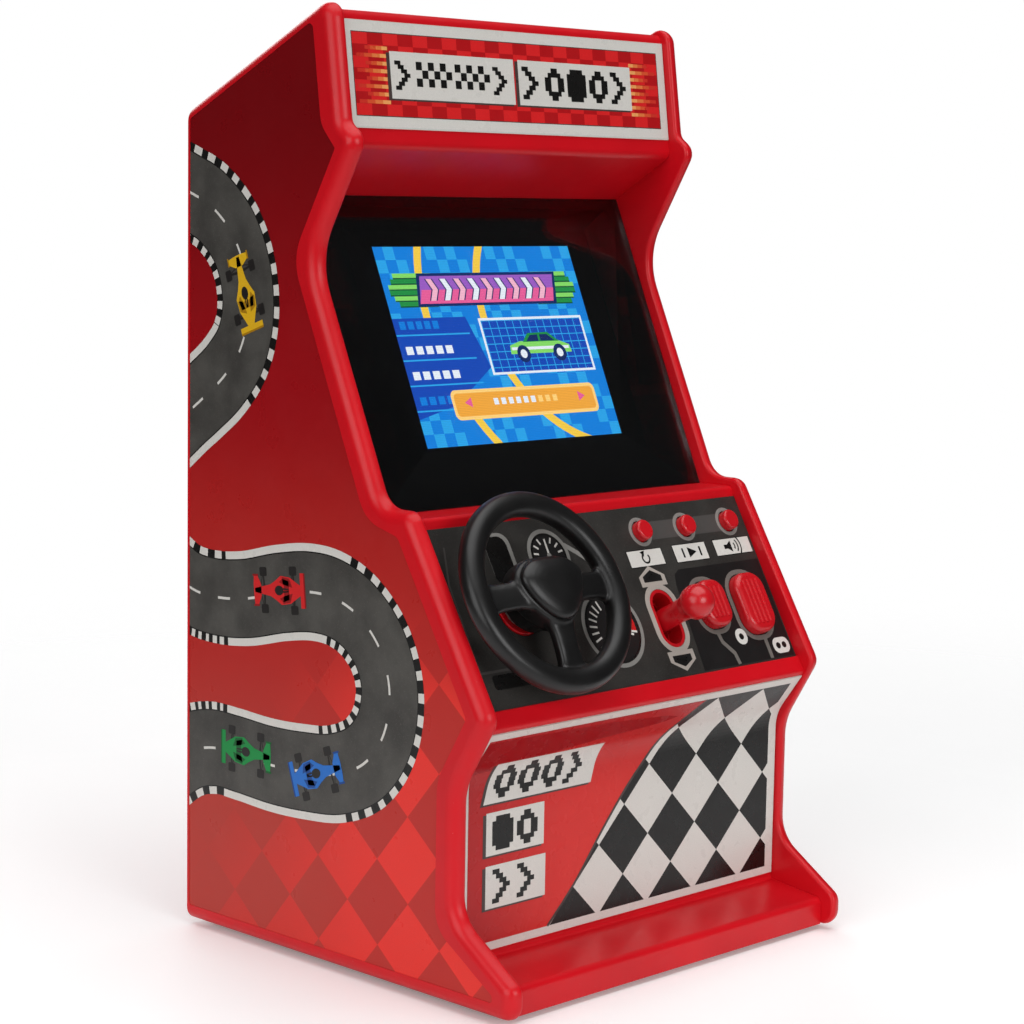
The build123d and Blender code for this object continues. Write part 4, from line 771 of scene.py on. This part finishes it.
lower.line(edge, 0.5, SHADOW, 4)
swoosh_low = smooth_path([(FIELD[0], UPRIGHT - 0.5), (-26, UPRIGHT - 1.6), (-10, UPRIGHT - 3.2),
                          (3.8, UPRIGHT - 4.2), (9.0, UPRIGHT - 5.2)], 0.8)
swoosh_top = [(5.5, FIELD[1] + 2.2), (-10, FIELD[1] + 1.0), (FIELD[0], FIELD[1] + 0.4)]
lower.area(swoosh_low + swoosh_top, SWOOSH, 4)
draw_plate(lower, -34.6, UPRIGHT - 1.9, -9.0, UPRIGHT + 5.2, (DIAMOND, DIAMOND, DIAMOND, CHEVRON), 0.8, 5,
           skew=0.3, margin=1.3)
draw_plate(lower, -34.9, UPRIGHT + 6.7, -21.3, UPRIGHT + 13.9, (LAMP, DIAMOND), 0.82, 5, margin=1.4)
draw_plate(lower, -34.9, UPRIGHT + 15.6, -20.8, UPRIGHT + 22.8, (CHEVRON, CHEVRON), 0.82, 5, margin=1.6)
lower.LAYER = 0.012
lower.build("lower_artwork", "lower_art", cuts=LOWER.cuts(), under=0.04)

# Deck: gauges, frames round the controls and pictograms
DECK = Slope((-15.14, 77.18), (-30.84, 49.36))
DEEP = ink("ink_deck_dark", srgb(22, 20, 20), 0.46, coat=0.0)
BAND = ink("ink_deck_band", srgb(74, 71, 69), 0.46, coat=0.0)
RED_INK = ink("ink_gauge_red", srgb(196, 30, 30), 0.35)
PALE = ink("ink_pale_grey", srgb(172, 164, 156), 0.36)
RING_GREY = ink("ink_ring_grey", srgb(112, 107, 102), 0.36)
deck = Print(DECK)
deck.area([(17.6, 12.6), (39.6, 12.6), (39.6, 31.6), (14.6, 31.6), (15.6, 15.4), (16.2, 13.4)], DEEP, 0)
deck.box(9.5, 3.1, 37.5, 6.5, BAND, 1)
for place in ((11.55, 4.8), (23.3, 4.8), (35.1, 4.8)):
    deck.disc(*place, 2.75, GREY, 2, inner=2.06)
for left, top, right, bottom in ((6.1, 8.2, 15.0, 11.2), (18.2, 8.1, 26.9, 11.3), (29.3, 8.1, 39.2, 11.1)):
    deck.box(left - 0.15, top - 0.15, right + 0.15, bottom + 0.15, BLACK, 2)
    deck.box(left, top, right, bottom, WHITE, 3)
# start over: an arrow that turns back on itself
deck.disc(10.5, 9.75, 1.05, BLACK, 4, inner=0.7, start=-40, end=250)
deck.area([(9.4, 8.5), (10.6, 8.3), (10.1, 9.5)], BLACK, 5)
# start: a forward triangle between two bars
deck.area([(21.9, 8.7), (24.1, 9.7), (21.9, 10.7)], BLACK, 4)
for x in (20.3, 24.9):
    deck.box(x, 8.8, x + 0.45, 10.6, BLACK, 4)
# volume: a loudspeaker and its waves
deck.area([(31.9, 9.2), (32.8, 9.2), (33.9, 8.5), (33.9, 10.7), (32.8, 10.0), (31.9, 10.0)], BLACK, 4)
for radius in (1.0, 1.8, 2.6):
    deck.disc(34.0, 9.6, radius, BLACK, 4, inner=radius - 0.32, start=-42, end=42)


def draw_frame(u, v, width, length, reach, radius, material, layer):
    """A ring round a control: outer outline in ink; the control's own hole leaves the rest."""
    outer = capsule(u, v, width + 2 * reach, length + 2 * reach, radius + reach)
    inner = capsule(u, v, width, length, radius)
    for n in range(len(outer)):
        m = (n + 1) % len(outer)
        deck.area([outer[n], outer[m], inner[m], inner[n]], material, layer)


LEVER_U, LEVER_V = 10.2, 21.1
draw_frame(LEVER_U, LEVER_V, 6.02, 10.92, 1.1, 3.0, PALE, 2)
for v, tip in ((LEVER_V - 8.0, -1), (LEVER_V + 8.0, 1)):
    for shrink, material, layer in ((0.0, PALE, 3), (0.95, DEEP, 4)):
        wide, tall = 3.3 - shrink, 1.9 - shrink * 0.85
        deck.area([(LEVER_U - wide, v - tip * tall), (LEVER_U - wide, v), (LEVER_U, v + tip * tall),
                   (LEVER_U + wide, v), (LEVER_U + wide, v - tip * tall)], material, layer)
    deck.area([(LEVER_U + x, v + tip * y) for x, y in ((-1.7, -0.55), (0, 0.8), (1.7, -0.55))], BLACK, 5)
draw_frame(22.2, 20.0, 7.2, 9.3, 0.85, 3.1, RING_GREY, 2)
draw_frame(32.7, 21.0, 8.1, 11.9, 0.9, 3.5, RING_GREY, 2)
deck.line([(21.6, 25.4), (21.9, 27.0), (24.0, 29.4), (24.3, 31.5)], 0.9, RING_GREY, 1)
deck.line([(33.4, 27.6), (33.4, 31.5)], 0.9, RING_GREY, 1)
# one dot and two dots name the two pills
for centre, dots in (((27.3, 26.6), 1), ((37.0, 29.4), 2)):
    half = 0.95 + 0.75 * (dots - 1)
    deck.area(capsule(*centre, 2 * half + 1.1, 3.0, 1.4), WHITE, 3)
    for n in range(dots):
        deck.disc(centre[0] + (n - (dots - 1) / 2) * 1.6, centre[1], 0.6, BLACK, 4)


def draw_ray(u, v, angle, inner, outer, width):
    """A white line that points away from (u, v); angle in degrees."""
    a = radians(angle)
    deck.line([(u + reach * cos(a), v + reach * sin(a)) for reach in (inner, outer)], width, WHITE, 6)


def draw_gauge(u, v, radius, ticks, needle):
    """A dial with a grey ring, its tick marks and its needle; angles in degrees."""
    deck.disc(u, v, radius + 0.75, GREY, 2)
    deck.disc(u, v, radius, BLACK, 3)
    deck.disc(u, v, radius - 0.45, DEEP, 4)
    for angle in ticks:
        draw_ray(u, v, angle, radius * 0.58, radius * 0.86, 0.36)
    draw_ray(u, v, needle, 0, radius * 0.74, 0.42)
    deck.disc(u, v, 0.5, GREY, 7)


SMALL_GAUGE, BIG_GAUGE = (-12.7, 7.0), (-4.0, 21.4)
draw_gauge(*SMALL_GAUGE, 4.1, (-170, -145, -118, -62, -35, -10), -88)
draw_gauge(*BIG_GAUGE, 6.4, (-215, -200, -185, -170, -155, -140, -125, -110), 20)
deck.disc(*BIG_GAUGE, 5.5, RED_INK, 5, inner=2.9, start=-50, end=12)
draw_ray(*BIG_GAUGE, 12.605, 3.0, 5.6, 0.4)
deck.line(smooth_path([(-8.4, 5.4), (-4.2, 8.4), (-0.8, 12.0), (1.6, 15.6)], 0.7), 0.9, GREY, 1)
deck.line(smooth_path([(-16.6, 9.4), (-14.2, 12.6), (-11.4, 17.4)], 0.7), 0.9, GREY, 1)
deck.area(capsule(-23.8, 6.6, 5.9, 9.4, 2.3), GREY, 2)
deck.area(capsule(-24.2, 6.8, 5.0, 8.6, 1.9), BLACK, 3)
deck.line([(-26.2, 11.5), (-22.2, 11.5)], 0.35, WHITE, 3)
deck.line([(-37.6, 25.2), (-37.6, 10.0), (-35.8, 3.4)], 0.4, BAND, 1)
deck.line([(-38.4, 25.4), (-26.4, 25.4)], 0.45, BAND, 1)
deck.area(capsule(-31.0, 27.3, 9.0, 2.5, 0.6), BLACK, 2)
deck.build("deck_artwork", "deck_art")

# Steering wheel: round rim, flared spokes and a shield-shaped hub, blended into one moulding
WHEEL_U, WHEEL_V = -24.2, 15.5
RIM_REACH, RIM_HALF_WIDTH, RIM_HALF_HEIGHT, RIM_LIFT = 15.65, 2.15, 1.95, 7.3
SHIELD = [(0.0, 5.7), (4.6, 5.3), (7.5, 2.5), (6.2, -1.7), (3.0, -5.3), (0.0, -6.4)]
SHIELD += [(-a, b) for a, b in SHIELD[4:0:-1]]


def section(half_width, half_height, power=2.0, count=24):
    """Outline between an ellipse and a box."""
    points = []
    for n in range(count):
        a, b = cos(2 * pi * n / count), sin(2 * pi * n / count)
        points.append((half_width * abs(a) ** (2 / power) * (1 if a > 0 else -1),
                       half_height * abs(b) ** (2 / power) * (1 if b > 0 else -1)))
    return points


def skin(mesh, rings, closed=False):
    """Joins each ring of points to the next, and either closes the round or caps the ends."""
    loops = [[mesh.verts.new(point) for point in ring] for ring in rings]
    for a, b in zip(loops, loops[1:] + loops[:1] if closed else loops[1:]):
        for n in range(len(a)):
            m = (n + 1) % len(a)
            mesh.faces.new((a[n], a[m], b[m], b[n]))
    if not closed:
        mesh.faces.new(list(reversed(loops[0])))
        mesh.faces.new(loops[-1])


def shield_ring(scale, height):
    """The hub's outline at this size and height."""
    around = smooth_path(SHIELD + SHIELD[:1], 0.55)[:-1]
    return [(x * scale, y * scale, height) for x, y in around]


def moulded(name, mesh, grain, replaced):
    """The mesh's parts melted together and smoothed, then set on the deck."""
    bmesh.ops.recalc_face_normals(mesh, faces=mesh.faces[:])
    rough = new_piece(name, mesh)
    melt = rough.modifiers.new("melt", "REMESH")
    melt.mode = "VOXEL"
    melt.voxel_size = grain
    soften = rough.modifiers.new("soften", "SMOOTH")
    soften.factor, soften.iterations = 0.5, 10
    done = bpy.data.meshes.new_from_object(rough.evaluated_get(bpy.context.evaluated_depsgraph_get()))
    bpy.data.objects.remove(rough)
    for vert in done.vertices:
        x, y, z = vert.co
        vert.co = DECK.at(WHEEL_U + x, WHEEL_V - y, z)
    for face in done.polygons:
        face.use_smooth = True
    done.materials.clear()
    done.materials.append(wheel_black)
    piece = link_piece(name, done)
    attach(piece, "steering")
    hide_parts(replaced)


RIM_STEPS = 120
wheel = bmesh.new()
rim_rings = []
for n in range(RIM_STEPS):
    a = 2 * pi * n / RIM_STEPS
    rim_rings.append([((RIM_REACH + x) * cos(a), (RIM_REACH + x) * sin(a), RIM_LIFT + y)
                      for x, y in section(RIM_HALF_WIDTH, RIM_HALF_HEIGHT, 2.3)])
skin(wheel, rim_rings, closed=True)
for heading in (0, 180, 270):
    a = radians(heading)
    rings = []
    for n in range(15):
        reach = 3.0 + n * 0.9
        flare = 1.6 * max(0.0, (reach - 11.0) / 3.5) ** 2 + 0.8 * max(0.0, (8.5 - reach) / 3.5) ** 2
        height = RIM_LIFT - 0.5 + 1.3 * max(0.0, (13.0 - reach) / 10.0)
        rings.append([(reach * cos(a) - x * sin(a), reach * sin(a) + x * cos(a), height + y)
                      for x, y in section(2.35 + flare, 1.15, 3.5)])
    skin(wheel, rings)
skin(wheel, [shield_ring(0.94, 5.0), shield_ring(1.0, 5.6), shield_ring(1.0, 8.6), shield_ring(0.94, 9.25)])
COLLAR_RADIUS = 5.2
collar = [(COLLAR_RADIUS * cos(n * pi / 12), COLLAR_RADIUS * sin(n * pi / 12)) for n in range(24)]
skin(wheel, [[(x, y, height) for x, y in collar] for height in (1.9, 6.0)])
moulded("steering_wheel_moulding", wheel, 0.25, "steering_wheel")
pad = bmesh.new()
skin(pad, [shield_ring(0.9, 9.1)] + [shield_ring(0.9 * s, 9.6 + 1.6 * (1 - s ** 3) ** 0.5)
                                     for s in (1.0, 0.98, 0.94, 0.88, 0.78, 0.64, 0.48, 0.3, 0.12)])
moulded("hub_cap_moulding", pad, 0.22, "wheel_hub_cap")

# Screen picture: a generic racing menu with no words
WINDOW = Slope((15.67, 131.04), (-6.99, 78.84), lift=-1.64)
VIEW_W, VIEW_H = 48.96, 36.72
VIEW_LEFT, VIEW_TOP = -0.95 - VIEW_W / 2, 27.55 - VIEW_H / 2
SKY_A, SKY_B = glow("lcd_blue", 12, 124, 214), glow("lcd_blue_pale", 40, 160, 226)
DEEP_BLUE = glow("lcd_deep_blue", 16, 70, 176)
LCD_YELLOW = glow("lcd_yellow", 240, 200, 70)
LCD_GREEN, LCD_LIME = glow("lcd_green", 30, 140, 66), glow("lcd_lime", 130, 214, 100)
LCD_WHITE = glow("lcd_white", 226, 234, 242)
LCD_ORANGE, LCD_GOLD = glow("lcd_orange", 236, 164, 60), glow("lcd_gold", 250, 206, 120)
LCD_PINK, LCD_VIOLET = glow("lcd_pink", 226, 92, 150), glow("lcd_violet", 150, 90, 190)
LCD_BLUSH = glow("lcd_blush", 238, 178, 200)
LCD_NAVY = glow("lcd_navy", 14, 40, 96)
LCD_RIDGE = glow("lcd_dark_green", 14, 84, 52)


class Screen(Print):
    """Artwork on the screen, placed by share of its width and height."""

    def at(self, u, v):
        return VIEW_LEFT + u * VIEW_W, VIEW_TOP + v * VIEW_H

    def shape(self, points, material, layer):
        points = clip_to([self.at(*p) for p in points], *self.at(0, 0), *self.at(1, 1))
        if len(points) > 2:
            self.area(points, material, layer)

    def rect(self, left, top, right, bottom, material, layer):
        self.shape([(left, top), (right, top), (right, bottom), (left, bottom)], material, layer)


ARC_WIDTH = 0.035
screen = Screen(WINDOW)
screen.LAYER = 0.006
screen.rect(0, 0, 1, 1, SKY_A, 0)
for row in range(15):
    for column in range(20):
        if (row + column) % 2 and (row * 7 + column * 5) % 3:
            screen.rect(column / 20, row / 15, (column + 1) / 20, (row + 1) / 15, SKY_B, 1)
for radius in (0.83, 0.55):
    for n in range(60):
        a, b = radians(90 + n * 3), radians(93 + n * 3)
        ring = [(1.02 + r * cos(t), 0.35 - r * 1.25 * sin(t)) for r, t in
                ((radius, a), (radius, b), (radius + ARC_WIDTH, b), (radius + ARC_WIDTH, a))]
        if all(-0.2 < x < 1.2 and -0.2 < y < 1.2 for x, y in ring):
            screen.shape(ring, LCD_YELLOW, 2)
screen.shape([(0, 0.36), (0.36, 0.36), (0.42, 0.62), (0.2, 0.8), (0, 0.86)], DEEP_BLUE, 3)
for row, (length, tone) in enumerate(((0.2, SKY_A), (0.24, LCD_WHITE), (0.24, LCD_WHITE), (0.22, SKY_A))):
    top = 0.33 + row * 0.125
    for n in range(5):
        screen.rect(0.03 + n * length / 5, top + 0.045, 0.03 + (n + 0.7) * length / 5, top + 0.085, tone, 4)
    screen.rect(0.0, top + 0.11, 0.36, top + 0.118, SKY_B, 4)
# banner: stepped green ends and a pink and violet middle with a row of chevrons
for side in (0, 1):
    for n in range(6):
        inner = 0.30 - abs(n - 2.5) * 0.022
        outer = 0.02 + abs(n - 2.5) * 0.016
        a, b = (outer, inner) if side == 0 else (1 - inner, 1 - outer)
        top = 0.135 + n * 0.0285
        screen.rect(a, top, b, top + 0.029, LCD_GREEN if n % 2 else LCD_LIME, 5)
        screen.rect(a, top + 0.022, b, top + 0.029, LCD_RIDGE, 6)
for grow, material, layer in ((0.014, LCD_NAVY, 7), (0.0, LCD_VIOLET, 8)):
    screen.shape([(0.19 - grow, 0.15 - grow), (0.87 + grow, 0.15 - grow), (0.84 + grow, 0.29 + grow),
                  (0.16 - grow, 0.29 + grow)], material, layer)
screen.shape([(0.183, 0.22), (0.857, 0.22), (0.84, 0.29), (0.16, 0.29)], LCD_PINK, 9)
SLIP = 0.022  # how far a chevron's point stands ahead of its ends
for n in range(9):
    left = 0.215 + n * 0.069
    for grow, material, layer in ((0.006, LCD_NAVY, 10), (0.0, LCD_WHITE if n % 2 else LCD_BLUSH, 11)):
        a, b = left - grow, left + 0.026 + grow
        screen.shape([(a, 0.165), (b, 0.165), (b + SLIP, 0.22), (a + SLIP, 0.22)], material, layer)
        screen.shape([(a + SLIP, 0.22), (b + SLIP, 0.22), (b, 0.275), (a, 0.275)], material, layer)
# framed grid with a small car
screen.rect(0.42, 0.37, 0.96, 0.66, LCD_WHITE, 5)
GRID_LEFT, GRID_TOP, GRID_RIGHT, GRID_BOTTOM = 0.43, 0.382, 0.95, 0.648
GRID_STEP = 0.04
screen.rect(GRID_LEFT, GRID_TOP, GRID_RIGHT, GRID_BOTTOM, DEEP_BLUE, 6)
for n in range(13):
    left = GRID_LEFT + n * GRID_STEP
    screen.rect(left, GRID_TOP, left + 0.004, GRID_BOTTOM, SKY_B, 7)
for n in range(7):
    top = GRID_TOP + n * GRID_STEP
    screen.rect(GRID_LEFT, top, GRID_RIGHT, top + 0.005, SKY_B, 7)
screen.shape([(0.54, 0.56), (0.545, 0.515), (0.6, 0.495), (0.80, 0.495), (0.855, 0.52), (0.86, 0.56)],
             LCD_LIME, 8)
screen.shape([(0.615, 0.5), (0.65, 0.455), (0.755, 0.452), (0.805, 0.5)], LCD_GREEN, 8)
screen.shape([(0.635, 0.497), (0.66, 0.465), (0.70, 0.463), (0.70, 0.497)], LCD_NAVY, 9)
screen.shape([(0.71, 0.497), (0.71, 0.463), (0.75, 0.463), (0.785, 0.497)], LCD_NAVY, 9)
screen.rect(0.55, 0.525, 0.85, 0.54, LCD_WHITE, 9)
for u in (0.605, 0.795):
    for size, material, layer in ((1, LCD_NAVY, 10), (0.5, LCD_WHITE, 11)):
        screen.shape([(u + 0.034 * size * cos(n * pi / 8), 0.56 + 0.045 * size * sin(n * pi / 8))
                      for n in range(16)], material, layer)
# rounded bar with arrows
for share_w, share_h, corner, material, layer in (
        (0.74, 0.15, 1.2, LCD_GOLD, 5), (0.715, 0.115, 0.8, LCD_ORANGE, 6)):
    bar = capsule(*screen.at(0.55, 0.8), share_w * VIEW_W, share_h * VIEW_H, corner)
    screen.area(bar, material, layer)
screen.shape([(0.24, 0.79), (0.275, 0.765), (0.275, 0.815)], LCD_PINK, 7)
screen.shape([(0.86, 0.79), (0.825, 0.765), (0.825, 0.815)], LCD_PINK, 7)
for n in range(9):
    screen.rect(0.385 + n * 0.038, 0.775, 0.408 + n * 0.038, 0.808, LCD_WHITE if n < 6 else LCD_GOLD, 7)
screen.build("lcd_picture", "lcd", under=0.0)

# ---------------------------------------------------------------- studio

stage = Shader("stage_floor", Roughness=0.6, Specular_IOR_Level=0.2)
stage_at = stage.place()
stage.set("Base Color", stage.mix(
    stage.span(stage.noise(stage_at, 0.01), 0.3, 0.7), (0.93, 0.93, 0.93), (0.95, 0.95, 0.95)))
distance = stage.add("VectorMath", {0: stage_at}, operation="LENGTH").outputs["Value"]
seen = stage.add("LightPath").outputs["Is Camera Ray"]
stage.set("Emission Color", (1.0, 1.0, 1.0))
stage.set("Emission Strength", stage.math("MULTIPLY", seen, 0.16))
stage.set("Alpha", stage.span(distance, 110, 420, 1.0, 0.0, smooth=True))
floor_mesh = bmesh.new()
bmesh.ops.create_grid(floor_mesh, x_segments=24, y_segments=24, size=1.4)
floor = new_piece("floor", floor_mesh, [stage.material])
floor.location.z = cad_low.z

CENTRE = (0.0, 0.0, 0.08)


def softbox(name, place, size, power):
    """A soft rectangular light that points at the middle of the cabinet; metres and watts."""
    light = bpy.data.lights.new(name, "AREA")
    light.shape = "RECTANGLE"
    light.size, light.size_y = size
    light.energy = power
    lamp = bpy.data.objects.new(name, light)
    lamp.location = place
    lamp.rotation_euler = (Vector(CENTRE) - Vector(place)).to_track_quat("-Z", "Y").to_euler()
    bpy.context.scene.collection.objects.link(lamp)


softbox("overhead", (0.0, -0.15, 1.1), (1.3, 1.1), 9.5)
softbox("left_fill", (-1.1, -0.25, 0.45), (0.9, 0.8), 6.0)
softbox("front_fill", (-0.15, -1.2, 0.42), (0.7, 0.6), 6.0)
softbox("back_rim", (0.5, 1.1, 0.7), (0.9, 0.6), 5.0)

world = bpy.data.worlds.new("studio")
bpy.context.scene.world = world
world.use_nodes = True
tree = world.node_tree
choose = tree.nodes.new("ShaderNodeMixShader")
tree.links.new(tree.nodes.new("ShaderNodeLightPath").outputs["Is Camera Ray"], choose.inputs[0])
# dim as a light, white where the camera sees it
for entry, colour, strength in ((1, (0.9, 0.92, 0.95, 1.0), 0.06), (2, (1.0, 1.0, 1.0, 1.0), 1.0)):
    sky = tree.nodes.new("ShaderNodeBackground")
    sky.inputs["Color"].default_value = colour
    sky.inputs["Strength"].default_value = strength
    tree.links.new(sky.outputs[0], choose.inputs[entry])
tree.links.new(choose.outputs[0], tree.nodes["World Output"].inputs["Surface"])

# Camera in object millimetres; it looks to the right of +Y and slightly down, with a small roll
CAMERA_PLACE = (-323.57, -314.73, 131.69)
CAMERA_AZIMUTH = -45.535
CAMERA_ELEVATION = 7.076
CAMERA_ROLL = 0.978
LENS = 90.09
camera_data = bpy.data.cameras.new("camera")
camera_data.sensor_width = 36.0
camera_data.lens = LENS
camera_data.clip_start = 0.01
camera = bpy.data.objects.new("camera", camera_data)
bpy.context.scene.collection.objects.link(camera)
turn = Matrix.Rotation(radians(CAMERA_AZIMUTH), 4, "Z")
turn @= Matrix.Rotation(radians(90 - CAMERA_ELEVATION), 4, "X")
turn @= Matrix.Rotation(radians(CAMERA_ROLL), 4, "Z")
camera.matrix_world = Matrix.Translation(Vector(CAMERA_PLACE) * MM) @ turn
bpy.context.scene.camera = camera
bpy.context.scene.view_settings.view_transform = "Standard"
